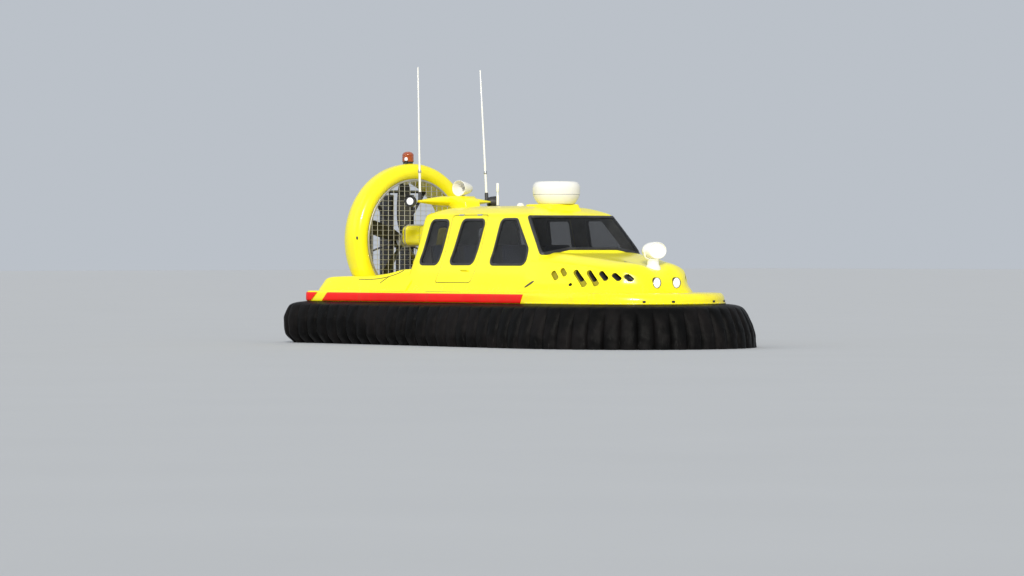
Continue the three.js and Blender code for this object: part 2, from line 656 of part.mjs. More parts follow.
function buildStrakes() {
  const { bottom, top, proud, bevel, root, split, end, slant } = STRAKE;
  const band = () => [[root, bottom], [2, bottom], [proud, bottom + bevel], [proud, top - bevel], [root, top]];
  const deckGrown = loft([hullRing(DECK_BOTTOM_Z - 10, -SEAT), hullRing(DECK_TOP_Z + 10, -SEAT)]);
  const strip = (from, to, count) => {
    const lengths = Array.from({ length: count + 1 }, (_, i) => from + ((to - from) * i) / count);
    return sweep(lengths, band).subtract(deckGrown);
  };
  const across = (outline, side) => prism(outline, "y", side * 1000, side * 1600);
  const [low, high] = [bottom - 20, top + 20];
  const behind = (rear, front) => [[rear, low], [rear - 900, low], [rear - 900, high], [front, high]];
  const ahead = (rear, front) => [[rear, low], [rear + 900, low], [rear + 900, high], [front, high]];
  const sternReach = EDGE.lengthAtX(split + 230);
  let stern = strip(-sternReach, sternReach, 40);
  for (const [name, side] of SIDES) {
    stern = stern.subtract(across(ahead(SLASH.lowRear, SLASH.highRear), side));
    const lengths = [EDGE.lengthAtX(split - 150), EDGE.lengthAtX(end)].map((s) => side * s);
    const piece = strip(...lengths, 12)
      .subtract(across(behind(SLASH.lowFront, SLASH.highFront), side))
      .subtract(across(ahead(end - slant, end), side));
    add(`strake_${name}`, piece, RED);
  }
  add("strake_stern", stern, RED);
}

// Thrust: duct, guard, nacelle, engine, propeller, stators and rudders

const spun = (points, angle) =>
  points.map(([x, y, z]) => {
    const [c, s] = [Math.cos(angle), Math.sin(angle)];
    return [x, y * c - z * s, DUCT.z + y * s + z * c];
  });

function buildDuct() {
  const profile = [];
  for (let i = 0; i <= 8; i++) {
    const angle = (Math.PI * i) / 8;
    profile.push([DUCT.mid + DUCT.lip * Math.cos(angle), DUCT.lip * Math.sin(angle)]);
  }
  profile.push([DUCT_BORE, -DUCT.rear], [DUCT_BORE + 62, -DUCT.rear], [DUCT_BORE + 150, -300]);
  profile.push([DUCT_OUTER - 10, -180], profile[0]);
  let duct = turned(profile, ALONG_X, [DUCT.x, 0, DUCT.z], DUCT.segments);
  const { offset, thickness, rootHalf, tipHalf, behind } = RUDDER_BEAM;
  const [tip, root] = [RUDDER.pivot - behind, DUCT.x - DUCT.rear + 20];
  const beam = [[tip, -tipHalf], [root, -rootHalf], [root, rootHalf], [tip, tipHalf]];
  for (const end of [-1, 1]) {
    const [low, high] = [-thickness / 2, thickness / 2].map((z) => DUCT.z + end * offset + z);
    duct = duct.add(prism(beam, "z", low, high));
    for (const y of [-RUDDER.spacing, 0, RUDDER.spacing])
      duct = duct.subtract(rod(12.5, ALONG_Z, [RUDDER.pivot, y, low - 10], thickness + 20, 12));
  }
  add("thrust_duct", duct, YELLOW);
  const beaconAt = [DUCT.x - 100, 0, DUCT.z + DUCT_OUTER - 14];
  const beaconProfile = [[0, 0], [72, 0], [72, 36], [86, 42], [84, 140], [56, 182], [0, 190]];
  const grown = profile.map(([r, h]) => [r + (r > DUCT.mid ? SEAT : 0), h]);
  const ductSkin = turned(grown, ALONG_X, [DUCT.x, 0, DUCT.z], DUCT.segments);
  add("duct_beacon", turned(beaconProfile, ALONG_Z, beaconAt, 16).subtract(ductSkin), AMBER);
}

function buildGuard() {
  const { x, radius, width, thickness, wire, pitch, cross, frame } = GUARD;
  const [back, ahead] = [-thickness / 2, thickness / 2];
  const ringProfile = [[radius - width, back], [radius, back], [radius, ahead], [radius - width, ahead]];
  let guard = turned([...ringProfile, ringProfile[0]], ALONG_X, [x, 0, DUCT.z], DUCT.segments);
  const reachAt = (offset) => Math.sqrt((radius - width / 2) ** 2 - offset ** 2);
  for (let y = -8 * pitch; y <= 8 * pitch; y += pitch) {
    const reach = reachAt(y);
    guard = guard.add(block([x - wire, x + wire], [y - wire, y + wire], [DUCT.z - reach, DUCT.z + reach]));
  }
  for (const z of [-cross, cross]) {
    const reach = reachAt(z);
    guard = guard.add(block([x - wire, x + wire], [-reach, reach], [DUCT.z + z - wire, DUCT.z + z + wire]));
  }
  const [low, high] = [NACELLE.bottom - frame, NACELLE.top + frame];
  const beside = NACELLE.half + frame;
  guard = guard.add(block([x + back, x + ahead], [-beside, beside], [low, high]));
  add("propeller_guard", guard.subtract(nacelleBody(SEAT)), METAL);
}

function nacelleBody(grow) {
  const { front, rear, half, bottom, top, corner } = NACELLE;
  const level = (x, shrink) =>
    rounded(
      [[-half, bottom], [half, bottom], [half, top], [-half, top]].map(([y, z]) => [
        Math.sign(y) * (Math.abs(y) + grow - shrink),
        z === bottom ? z - grow + shrink : z + grow - shrink,
      ]),
      corner,
    ).map(([y, z]) => [x, y, z]);
  return loft([level(rear - grow, 30), level(rear + 60, 0), level(front + 60, 0)]);
}

const ENGINE_COVER = { rear: -2290, front: -1562, half: 260, wall: 30 };

// Columns: radius, chord, blade angle in degrees, thickness.
const BLADE = [
  [70, 120, 52, 46],
  [220, 190, 42, 30],
  [480, 210, 30, 20],
  [720, 180, 23, 13],
  [PROPELLER.radius, 100, 20, 8],
];

// A blade's section, as shares of its chord and of its thickness.
const BLADE_SECTION = [[-0.5, 0], [-0.3, 0.5], [0.1, 0.45], [0.5, 0], [0.1, -0.25], [-0.3, -0.35]];
const RUDDER_NAMES = ["starboard", "centre", "port"];

function buildThrust() {
  const nacelle = nacelleBody(0).subtract(cabinGrown);
  add("nacelle", nacelle.subtract(rod(31, ALONG_X, [NACELLE.rear - 5, 0, DUCT.z], 180, 16)), YELLOW);
  const { rear, front, half, wall } = ENGINE_COVER;
  const coverTop = NACELLE.bottom - SEAT;
  const floor = STERN_WELL.floor + SEAT;
  const profile = (by) => [
    [rear + by, floor - by * 2],
    [rear + by, 1150 - by / 2],
    [rear + 180 + by / 2, coverTop - by],
    [front - by, coverTop - by],
    [front - by, floor - by * 2],
  ];
  const hollow = prism(profile(wall), "y", wall - half, half - wall);
  const cover = prism(profile(0), "y", -half, half).subtract(hollow);
  add("engine_cover", cover.subtract(ductBarrel(SEAT)), YELLOW);
  add("engine_block", block([-2180, -1640], [-190, 190], [floor, 1180]), ENGINE);

  const nose = [[0, -80], [60, -76], [PROPELLER.hub, -45], [PROPELLER.hub, 62]];
  let propeller = turned([...nose, [30, 70], [30, 200], [0, 200]], ALONG_X, [PROPELLER.x, 0, DUCT.z], 24);
  for (let i = 0; i < PROPELLER.blades; i++) {
    const rings = BLADE.map(([radius, chord, angle, thickness]) => {
      const lean = THREE.MathUtils.degToRad(angle);
      const section = BLADE_SECTION.map(([c, t]) => {
        const [across, along] = [c * chord, t * thickness];
        return [
          PROPELLER.x + across * Math.sin(lean) + along * Math.cos(lean),
          across * Math.cos(lean) - along * Math.sin(lean),
          radius,
        ];
      });
      return spun(section, (2 * Math.PI * i) / PROPELLER.blades);
    });
    propeller = propeller.add(loft(rings));
  }
  add("propeller", propeller, TRIM);
  add("stators", statorBody(), TRIM);
  RUDDER_NAMES.forEach((name, i) => {
    const y = (i - 1) * RUDDER.spacing;
    const nose = RUDDER.pivot + 90;
    const tail = nose - RUDDER.chord;
    const half = [[nose, 0], [nose - 40, 18], [nose - 110, 22], [tail, 2]];
    const foil = [...half, ...half.slice(1).reverse().map(([x, t]) => [x, -t])].map(([x, t]) => [x, y + t]);
    const blade = prism(foil, "z", DUCT.z - RUDDER.reach, DUCT.z + RUDDER.reach);
    const pinReach = RUDDER_BEAM.offset + 15;
    const pin = rod(12, ALONG_Z, [RUDDER.pivot, y, DUCT.z - pinReach], 2 * pinReach, 12);
    add(`rudder_${name}`, blade.add(pin), TRIM);
  });
}

// Still vanes behind the propeller, on a hub of their own.
function statorBody() {
  const [rear, front] = [DUCT.x - 380, DUCT.x - 290];
  let stators = rod(110, ALONG_X, [rear, 0, DUCT.z], front - rear, 24);
  const vane = [[rear + 5, -7], [rear + 5, 7], [front - 10, 9], [front - 10, -9]];
  for (let i = 0; i < 5; i++) {
    const angle = (2 * Math.PI * (i + 0.5)) / 5;
    const rings = [60, DUCT_BORE + 20].map((r) => spun(vane.map(([x, y]) => [x, y, r]), angle));
    stators = stators.add(loft(rings));
  }
  const [radius, behind] = [DUCT_BORE - SEAT, -DUCT.rear + 5];
  const profile = [[0, behind], [radius, behind], [radius, 0], [0, 0]];
  return stators.intersect(turned(profile, ALONG_X, [DUCT.x, 0, DUCT.z], DUCT.segments));
}

// Lift fan under the hood

const FAN_DECK_Z = 400;

function fanSpider() {
  const middle = [FAN_BORE.x, 0, FAN_DECK_Z];
  let spider = rod(60, ALONG_Z, middle, 50, 20).add(rod(18, ALONG_Z, middle, 130, 16));
  for (let i = 0; i < 3; i++) {
    const angle = (2 * Math.PI * i) / 3;
    const [c, s] = [Math.cos(angle), Math.sin(angle)];
    const corners = [[30, -12], [340, -12], [340, 12], [30, 12]];
    const arm = corners.map(([r, w]) => [FAN_BORE.x + r * c - w * s, r * s + w * c]);
    spider = spider.add(prism(arm, "z", FAN_DECK_Z, FAN_DECK_Z + 36));
  }
  return spider;
}

function buildLiftFan() {
  const bottom = FAN_DECK_Z + 56;
  const hub = [[19, 0], [85, 0], [85, 90], [50, 112], [19, 112], [19, 0]];
  let fan = turned(hub, ALONG_Z, [FAN_BORE.x, 0, bottom], 24);
  for (let i = 0; i < 7; i++) {
    const angle = (2 * Math.PI * i) / 7;
    const ring = (r, w, tilt) =>
      [[-w, 20], [w, 20 + tilt], [w, 30 + tilt], [-w, 30]].map(([side, z]) => [
        FAN_BORE.x + r * Math.cos(angle) - side * Math.sin(angle),
        r * Math.sin(angle) + side * Math.cos(angle),
        bottom + z,
      ]);
    fan = fan.add(loft([ring(70, 30, 50), ring(190, 55, 40), ring(310, 60, 26)]));
  }
  add("lift_fan", fan, TRIM);
}

// Cabin furniture

// A seat from the side, as [back, up] distances from its front lower corner.
const SEAT_SIDE = [
  [0, 0],
  [-400, 0],
  [-440, 300],
  [-590, 1030],
  [-560, 1085],
  [-490, 1080],
  [-370, 430],
  [20, 430],
  [40, 340],
];
const WHEEL = { y: -395, root: [1012, 1075], lean: [-0.88, 0.47], out: 210, rim: [150, 176] };

function buildCabinFurniture() {
  const floor = FOOTWELL.floor + SEAT;
  const seat = (front, y0, y1) => prism(SEAT_SIDE.map(([x, z]) => [front + x, floor + z]), "y", y0, y1);
  add("front_seat_port", seat(610, 150, 640), SEAT_CLOTH);
  add("front_seat_starboard", seat(610, -640, -150), SEAT_CLOTH);
  add("middle_bench", seat(-140, -700, 700), SEAT_CLOTH);
  add("rear_bench", seat(-800, -700, 700), SEAT_CLOTH);
  const dashSide = [[985, 880], [1140, 880], [1200, 1000], [1200, 1200], [1150, 1240], [1020, 1190]];
  const dash = prism(dashSide, "y", -760, 760);
  const pedestal = block([1000, 1170], [-170, 170], [floor, 900]);
  const column = new THREE.Vector3(WHEEL.lean[0], 0, WHEEL.lean[1]).normalize();
  const root = new THREE.Vector3(WHEEL.root[0], WHEEL.y, WHEEL.root[1]);
  const at = (distance) => root.clone().addScaledVector(column, distance).toArray();
  add("dashboard", dash.add(pedestal).subtract(rod(25, column, at(-60), 200, 16)), TRIM);
  const [inner, outer] = WHEEL.rim;
  const rim = [[inner, -14], [outer, -14], [outer, 14], [inner, 14], [inner, -14]];
  let wheel = turned(rim, column, at(WHEEL.out), 20).add(rod(24.5, column, at(-50), WHEEL.out + 60, 16));
  const [spokeX, , spokeZ] = at(WHEEL.out);
  const spokeHalf = inner + 10;
  wheel = wheel.add(rod(14, ALONG_Y, [spokeX, WHEEL.y - spokeHalf, spokeZ], 2 * spokeHalf, 10));
  add("steering_wheel", wheel, TRIM);
}

// Fittings on the roof and on the bow

const WING = { x: -1680, z: 2004, half: 664 };

function wingBody(grow) {
  const section = (y, rear, front, low, high) => {
    const middle = (low + high) / 2;
    return [
      [rear - grow, y, middle - 8],
      [(rear + front) / 2, y, low - grow],
      [front + grow, y, middle],
      [(rear + front) / 2, y, high + grow],
      [rear - grow, y, middle + 8],
    ];
  };
  return loft([
    section(-WING.half, -1750, -1620, 1985, 2022),
    section(-230, -1780, -1570, 1940, 2080),
    section(230, -1780, -1570, 1940, 2080),
    section(WING.half, -1750, -1620, 1985, 2022),
  ]);
}

// Turned fittings, as [radius, height] profiles.
const HAILER = [[0, -150], [60, -145], [85, -60], [112, 90], [112, 120], [90, 120], [70, 60], [0, 40]];
const HAILER_FACING = [0.25, -0.97, 0];
const HAILER_FOOT = { ahead: 210, z: 2078.3, height: 80, radius: 24 };
const HAILER_Z = 2190.4;
const CROSSBAR_LAMP = [[0, -45], [60, -40], [80, 20], [80, 80], [68, 80], [64, 55], [0, 50]];
const LAMP_BESIDE = 65;
const WHIP_FOOT = [[0, 0], [30, 0], [30, 110], [20, 120], [17, 130], [17, 380], [23, 385], [23, 415]];
const WHIP = [...WHIP_FOOT, [15, 425], [9, 1870], [0, 1872]];
const RADOME = [[0, 0], [250, 0], [290, 50], [325, 130], [330, 220], [312, 285], [270, 312], [0, 318]];
const ROD_ANTENNA = [[0, 0], [34, 0], [34, 30], [17, 36], [17, 190], [12, 200], [12, 240], [19, 250], [19, 360], [0, 362]];
const DOME_ANTENNA = [[0, 0], [55, 0], [55, 30], [38, 62], [0, 74]];
const WHIP_LEAN = { port: 0.078, starboard: 0.026 };

// The radar platform's port corners: station and half width, at its foot and at its top.
const PLATFORM_FOOT = { z: 1800, corners: [[60, 330], [830, 300]] };
const PLATFORM_TOP = { z: 1950, corners: [[150, 290], [730, 260]] };

function buildRoofFittings() {
  const pedestalSide = [[-1240, 1860], [-1440, 1800], [-1700, 1985], [-1700, 2050], [-1600, 2078], [-1380, 2078]];
  const pedestal = prism([...pedestalSide, [-1270, 2000]], "y", -140, 140);
  add("roof_crossbar", wingBody(0).add(pedestal).subtract(cabinGrown), YELLOW);
  const hailerX = WING.x + HAILER_FOOT.ahead;
  const foot = rod(HAILER_FOOT.radius, ALONG_Z, [hailerX, 0, HAILER_FOOT.z], HAILER_FOOT.height);
  add("hailer", turned(HAILER, HAILER_FACING, [hailerX, 0, HAILER_Z], 24).add(foot), WHITE);
  for (const [name, side] of SIDES) {
    const lampAt = [WING.x - 60, side * (WING.half + LAMP_BESIDE), WING.z];
    const facing = [0.5, side * 0.866, 0];
    add(`crossbar_lamp_${name}`, turned(CROSSBAR_LAMP, facing, lampAt, 20), TRIM);
    const toward = [-Math.sin(WHIP_LEAN[name]), 0, Math.cos(WHIP_LEAN[name])];
    const whip = turned(WHIP, toward, [WING.x - 5, side * (WING.half - 45), WING.z + 21], 12);
    add(`whip_antenna_${name}`, whip.subtract(wingBody(SEAT)), WHITE);
  }
  const levels = [PLATFORM_FOOT, PLATFORM_TOP].map(({ z, corners }) => {
    const outline = [...corners.map(([x, y]) => [x, -y]), ...corners.slice().reverse()];
    return rounded(outline, 80).map(([x, y]) => [x, y, z]);
  });
  add("radar_platform", loft(levels).subtract(cabinGrown), YELLOW);
  add("radome", turned(RADOME, ALONG_Z, [510, 0, PLATFORM_TOP.z + SEAT], 32), WHITE);
  add("roof_rod_antenna", turned(ROD_ANTENNA, ALONG_Z, [-1020, 250, 1900], 12).subtract(cabinGrown), WHITE);
  const dome = turned(DOME_ANTENNA, ALONG_Z, [-140, -90, 1900], 16);
  add("roof_dome_antenna", dome.subtract(cabinGrown), WHITE);
}

const DRUM_BACK = [[0, -115], [80, -105], [128, -50], [140, 20]];
const DRUM_FACE = [[138, 85], [122, 85], [112, 62], [0, 58]];
const DRUM_SQUEEZE = [1.1, 1.2, 0.84];
const DRUM_MIDDLE = 144;
const NOSE_LAMP = [[LAMP.radius, 128], [62, 132], [56, 112], [0, 105]];

function buildBowFittings() {
  const { x, root, neck, post: height } = SEARCHLIGHT;
  const postProfile = [[0, 0], [neck + 25, 0], [neck + 18, 90], [neck, 120], [neck, height], [0, height]];
  const post = turned(postProfile, ALONG_Z, [x, 0, root], 20);
  add("searchlight_post", post.subtract(noseBody(-SEAT, DECK_BOTTOM_Z)), WHITE);
  const bottom = root + height + SEAT;
  const cradle = [[0, 0], [neck, 0], [neck + 6, 30], [neck - 10, 70], [0, 70]];
  const head = turned([...DRUM_BACK, ...DRUM_FACE], ALONG_X, [0, 0, 0], 24)
    .scale(DRUM_SQUEEZE)
    .translate([x, 0, bottom + DRUM_MIDDLE]);
  const earSide = [[-172, 110], [172, 110], [172, 190], [-172, 190]].map(([y, z]) => [y, bottom + z]);
  const ears = prism(rounded(earSide, 34), "x", x - 45, x + 45);
  add("bow_searchlight", head.add(turned(cradle, ALONG_Z, [x, 0, bottom], 20)).add(ears), WHITE);
  for (const [name, side] of SIDES) {
    const at = [LAMP.x - LAMP.depth, side * LAMP.y, LAMP.z];
    add(`nose_lamp_${name}`, turned([[0, 0], [LAMP.radius, 0], ...NOSE_LAMP], ALONG_X, at, 20), TRIM);
  }
}

buildCabin();
buildHull();
buildDeck();
buildSkirt();
buildStrakes();
buildDuct();
buildGuard();
buildThrust();
buildLiftFan();
buildCabinFurniture();
buildRoofFittings();
buildBowFittings();

export default craft;
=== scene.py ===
import math

import bmesh
import bpy
import numpy as np
from mathutils import Matrix, Vector
from mathutils.bvhtree import BVHTree


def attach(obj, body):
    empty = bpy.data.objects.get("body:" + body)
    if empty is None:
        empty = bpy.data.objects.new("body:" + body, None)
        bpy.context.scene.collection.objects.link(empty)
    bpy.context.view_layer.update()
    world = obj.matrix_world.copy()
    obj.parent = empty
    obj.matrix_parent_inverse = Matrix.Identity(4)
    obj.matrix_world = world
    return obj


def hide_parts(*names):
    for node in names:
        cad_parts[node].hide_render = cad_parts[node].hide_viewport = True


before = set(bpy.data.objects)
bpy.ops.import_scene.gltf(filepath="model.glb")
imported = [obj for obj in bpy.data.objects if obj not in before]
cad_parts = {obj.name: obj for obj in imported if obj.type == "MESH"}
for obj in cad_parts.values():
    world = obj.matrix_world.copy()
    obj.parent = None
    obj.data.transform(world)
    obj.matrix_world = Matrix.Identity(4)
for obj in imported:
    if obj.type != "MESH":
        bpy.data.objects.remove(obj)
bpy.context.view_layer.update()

SIDES = (("port", 1), ("starboard", -1))

# Sizes shared by the shell, its glass and its fittings
HULL = dict(stern=-3.42, bow=3.31, half=1.36, corner=0.15, bow_length=1.75)
BOW_FULLNESS = 2.15
DECK_BOTTOM, DECK_TOP = 0.592, 0.74
WELL = dict(rear=-3.3, front=-1.56, half=0.96, floor=0.612)
DUCT = dict(x=-2.6, z=1.46, mid=0.978, lip=0.118, rear=0.4)
BORE = DUCT["mid"] - DUCT["lip"]
DUCT_OUTER = DUCT["mid"] + DUCT["lip"]
SHELL = 0.04


# Finishes: shader sums written as Python sums

class Value:
    """A socket of a finish, so that sums on it become shader nodes."""

    def __init__(self, finish, socket):
        self.finish, self.socket = finish, socket

    def sum(self, operation, first, second):
        return self.finish.node("Math", {"operation": operation}, {0: first, 1: second})

    def __add__(self, other):
        return self.sum("ADD", self, other)

    def __radd__(self, other):
        return self.sum("ADD", other, self)

    def __sub__(self, other):
        return self.sum("SUBTRACT", self, other)

    def __rsub__(self, other):
        return self.sum("SUBTRACT", other, self)

    def __mul__(self, other):
        return self.sum("MULTIPLY", self, other)

    def __rmul__(self, other):
        return self.sum("MULTIPLY", other, self)


class Graph:
    """A tree of nodes, all made by one method: settings first, then the sockets' values or links."""

    def __init__(self, tree):
        self.tree = tree
        tree.nodes.clear()

    def node(self, kind, settings=None, sockets=None, output=0):
        prefix = "" if kind.startswith(("Geometry", "Function")) else "ShaderNode"
        made = self.tree.nodes.new(prefix + kind)
        for key, value in (settings or {}).items():
            if key == "stops":
                ramp = made.color_ramp.elements
                while len(ramp) < len(value):
                    ramp.new(1.0)
                for stop, (position, shade) in zip(ramp, value):
                    stop.position, stop.color = position, (*[shade] * 3, 1)
            else:
                setattr(made, key, value)
        for key, value in (sockets or {}).items():
            if isinstance(value, Value):
                self.tree.links.new(value.socket, made.inputs[key])
            else:
                made.inputs[key].default_value = value
        return None if output is None else Value(self, made.outputs[output])


class Finish(Graph):
    """A surface finish and its shader nodes."""

    def __init__(self, name):
        self.material = bpy.data.materials.new(name)
        self.material.use_nodes = True
        super().__init__(self.material.node_tree)
        self.place = self.node("TexCoord", None, None, "Object")
        self.heights = []

    def part(self, which, vector=None):
        """X, Y or Z of a place."""
        return self.node("SeparateXYZ", None, {0: vector or self.place}, output=which)

    def ramp(self, value, low, high):
        """Nought at low and one at high."""
        sockets = {"Value": value, "From Min": low, "From Max": high}
        return self.node("MapRange", {"interpolation_type": "SMOOTHSTEP"}, sockets)

    def noise(self, scale, detail=3.0, roughness=0.55, stretch=None, where=None):
        where = where or self.place
        if stretch:
            where = self.node("Mapping", None, {"Vector": where, "Scale": stretch})
        return self.node("TexNoise", None, {"Vector": where, "Scale": scale, "Detail": detail,
                                            "Roughness": roughness})

    def blend(self, first, second, share):
        """A colour between two colours."""
        return self.node("Mix", {"data_type": "RGBA"}, {0: share, 6: first, 7: second}, output=2)

    def raise_by(self, height, distance):
        """A relief of the surface, in metres where the height is one."""
        self.heights.append((height, distance))

    def surface(self, colour, roughness, metallic=0.0, coat=0.0, alpha=1.0, **fixed):
        normal = None
        for height, distance in self.heights:
            sockets = {"Height": height, "Distance": distance, "Strength": 1.0}
            if normal:
                sockets["Normal"] = normal
            normal = self.node("Bump", None, sockets)
        sockets = {"Base Color": colour, "Roughness": roughness, "Metallic": metallic, "Coat Weight": coat,
                   "Alpha": alpha}
        if normal:
            sockets["Normal"] = normal
        sockets.update({key.replace("_", " "): value for key, value in fixed.items()})
        shader = self.node("BsdfPrincipled", None, sockets)
        self.node("OutputMaterial", None, {"Surface": shader}, None)
        return self.material


def rgb(r, g, b):
    return (r, g, b, 1.0)


def gel_coat(name, light, deep, rough=0.22, coat=0.22):
    """Glossy moulded gel coat, a little faded in patches and dirty near the skirt."""
    f = Finish(name)
    cloud = f.noise(1.1, 4.0)
    speck = f.noise(60.0, 4.0, 0.6)
    streak = f.noise(9.0, 4.0, 0.6, stretch=(1.0, 1.0, 0.12))
    height = f.part("Z")
    low = 1 - f.ramp(height, 0.6, 0.95)
    grime = f.ramp(streak * 0.6 + speck * 0.4, 0.5, 0.72) * (low * 0.55 + 0.07)
    colour = f.blend(rgb(*light), rgb(*deep), f.ramp(cloud, 0.35, 0.7))
    colour = f.blend(colour, rgb(0.2, 0.15, 0.05), grime * 0.5)
    f.raise_by(f.noise(170.0, 2.0), 0.00012)
    f.raise_by(f.noise(3.5, 2.0), 0.0016)
    return f.surface(colour, rough + grime * 0.5 + f.ramp(speck, 0.62, 0.8) * 0.12, coat=coat,
                     Coat_Roughness=0.08, Specular_IOR_Level=0.25)


def coated_fabric():
    """Black coated skirt fabric: woven under its coat, scuffed and salt-marked towards the hem."""
    f = Finish("skirt fabric")
    weave = f.node("UVMap", None, None)
    across = f.node("TexWave", {"wave_type": "BANDS", "bands_direction": "X"},
                    {"Vector": weave, "Scale": 130.0})
    along = f.node("TexWave", {"wave_type": "BANDS", "bands_direction": "Y"},
                   {"Vector": weave, "Scale": 130.0})
    patch = f.noise(2.2, 4.0)
    scuff = f.noise(34.0, 5.0, 0.65, stretch=(1.0, 1.0, 0.25))
    low = 1 - f.ramp(f.part("Z"), 0.02, 0.34)
    salt = f.ramp(scuff, 0.56, 0.74) * (low * 0.6 + 0.06)
    colour = f.blend(rgb(0.003, 0.003, 0.003), rgb(0.008, 0.007, 0.007), f.ramp(patch, 0.4, 0.65))
    colour = f.blend(colour, rgb(0.1, 0.1, 0.095), salt * 0.3)
    f.raise_by(across + along, 0.00018)
    f.raise_by(f.noise(14.0, 3.0, stretch=(1.0, 1.0, 0.5)), 0.004)
    return f.surface(colour, 0.4 + f.ramp(patch, 0.35, 0.7) * 0.14 + salt * 0.3, Specular_IOR_Level=0.05)


def moulded(name, tone, rough=0.5, grain=0.00035, grain_scale=420.0, dust=0.25):
    """Moulded plastic or rubber with a fine grain and dust in patches."""
    f = Finish(name)
    cloud = f.noise(5.0, 4.0)
    speck = f.noise(90.0, 4.0, 0.6)
    shade = f.blend(rgb(*tone), rgb(*[min(1, v * 1.5 + 0.012) for v in tone]), f.ramp(cloud, 0.35, 0.7))
    wear = f.ramp(speck, 0.58, 0.78) * dust
    shade = f.blend(shade, rgb(*[v * 0.6 + 0.09 for v in tone]), wear)
    f.raise_by(f.noise(grain_scale, 2.0), grain)
    return f.surface(shade, rough + wear * 0.3 + f.ramp(cloud, 0.3, 0.7) * 0.06)


def metal(name, tone, rough=0.3, brushed=(1.0, 1.0, 14.0)):
    """Bare metal with a brushed grain and dull spots."""
    f = Finish(name)
    grain = f.noise(120.0, 3.0, 0.6, stretch=brushed)
    dull = f.ramp(f.noise(7.0, 4.0), 0.42, 0.7)
    spots = f.ramp(f.noise(55.0, 5.0, 0.65), 0.6, 0.75)
    colour = f.blend(rgb(*tone), rgb(*[v * 0.7 for v in tone]), dull * 0.5 + spots * 0.35)
    f.raise_by(grain, 0.0002)
    return f.surface(colour, rough + grain * 0.18 + spots * 0.25, metallic=0.95 - spots * 0.25)


def tinted_glass(name, tone, clear, rough=0.03):
    """Tinted pane: a share of light goes through, and dust lies along it."""
    f = Finish(name)
    film = f.ramp(f.noise(4.0, 5.0, 0.6), 0.45, 0.8)
    colour = f.blend(rgb(*tone), rgb(0.2, 0.2, 0.19), film * 0.06)
    return f.surface(colour, rough + film * 0.06, alpha=1 - clear + film * 0.05, coat=0.15,
                     Coat_Roughness=0.03, Specular_IOR_Level=0.25)


def seat_cloth():
    """Navy seat cover with a woven face."""
    f = Finish("seat cloth")
    cell = f.node("TexVoronoi", {"feature": "F1"}, {"Vector": f.place, "Scale": 420.0})
    fade = f.noise(6.0, 4.0)
    thread = f.noise(260.0, 2.0)
    colour = f.blend(rgb(0.012, 0.02, 0.06), rgb(0.028, 0.04, 0.095), f.ramp(fade, 0.35, 0.7))
    colour = f.blend(colour, rgb(0.05, 0.06, 0.1), f.ramp(thread, 0.55, 0.75) * 0.5)
    f.raise_by(cell, 0.0006)
    f.raise_by(f.noise(9.0, 3.0), 0.003)
    return f.surface(colour, 0.82, Sheen_Weight=0.3, Sheen_Roughness=0.5)


def lens(name, tone, ribs, through=0.0, glow=0.0):
    """Moulded lamp lens with ribs inside."""
    f = Finish(name)
    rib = f.node("TexWave", {"wave_type": "BANDS", "bands_direction": "Z"},
                 {"Vector": f.place, "Scale": ribs})
    shade = f.blend(rgb(*tone), rgb(*[v * 0.45 for v in tone]), f.ramp(rib, 0.2, 0.9) * 0.7)
    f.raise_by(rib, 0.0015)
    return f.surface(shade, 0.08 + f.noise(30.0) * 0.08, alpha=1.0 - through, coat=1.0,
                     Emission_Strength=glow, Emission_Color=rgb(*tone))


def pale_floor():
    f = Finish("studio floor")
    return f.surface(f.blend(rgb(0.5, 0.51, 0.52), rgb(0.47, 0.48, 0.49), f.noise(0.4)), 0.85)


YELLOW = gel_coat("yellow gel coat", (0.96, 0.87, 0.018), (0.94, 0.8, 0.012))
RED = gel_coat("red rubbing strip", (0.93, 0.01, 0.006), (0.8, 0.007, 0.005), 0.34, 0.05)
# The olive is painted shade: the louvres' recesses are the same yellow, only in shadow.
RECESS_SHADE_OLIVE = gel_coat("louvre painted shade", (0.34, 0.3, 0.012), (0.26, 0.22, 0.01), 0.5, 0.0)
WHITE = gel_coat("white gel coat", (0.88, 0.87, 0.82), (0.82, 0.8, 0.74), 0.2)
SKIRT = coated_fabric()
SEAL = moulded("window rubber", (0.012, 0.012, 0.013), 0.42)
TRIM = moulded("black trim", (0.018, 0.018, 0.02), 0.48, 0.0006, 300.0)
LINING = moulded("cabin lining", (0.22, 0.22, 0.21), 0.7, 0.0008, 240.0)
NON_SLIP = moulded("deck tread", (0.035, 0.036, 0.038), 0.8, 0.0022, 130.0, 0.5)
ALLOY = metal("satin alloy", (0.6, 0.61, 0.62), 0.3)
STEEL = metal("stainless wire", (0.66, 0.67, 0.68), 0.2)
IRON = metal("engine casting", (0.17, 0.17, 0.18), 0.5)
GLASS = tinted_glass("tinted glass", (0.008, 0.008, 0.008), 0.58)
CLOTH = seat_cloth()
GUARD_METAL = metal("guard wire", (0.62, 0.61, 0.56), 0.42)
AMBER = lens("amber lens", (0.5, 0.085, 0.008), 90.0)
WHITE_LENS = lens("white lens", (0.92, 0.93, 0.93), 60.0, glow=0.55)
SCREEN = moulded("dark screen", (0.006, 0.007, 0.009), 0.12, 0.00005, 500.0, 0.1)
BLADE = moulded("black composite blade", (0.015, 0.015, 0.016), 0.3, 0.0002, 500.0, 0.15)
STUDIO_FLOOR = pale_floor()


# Meshes from points

def shown(name, mesh):
    made = bpy.data.objects.new(name, mesh)
    bpy.context.scene.collection.objects.link(made)
    return made


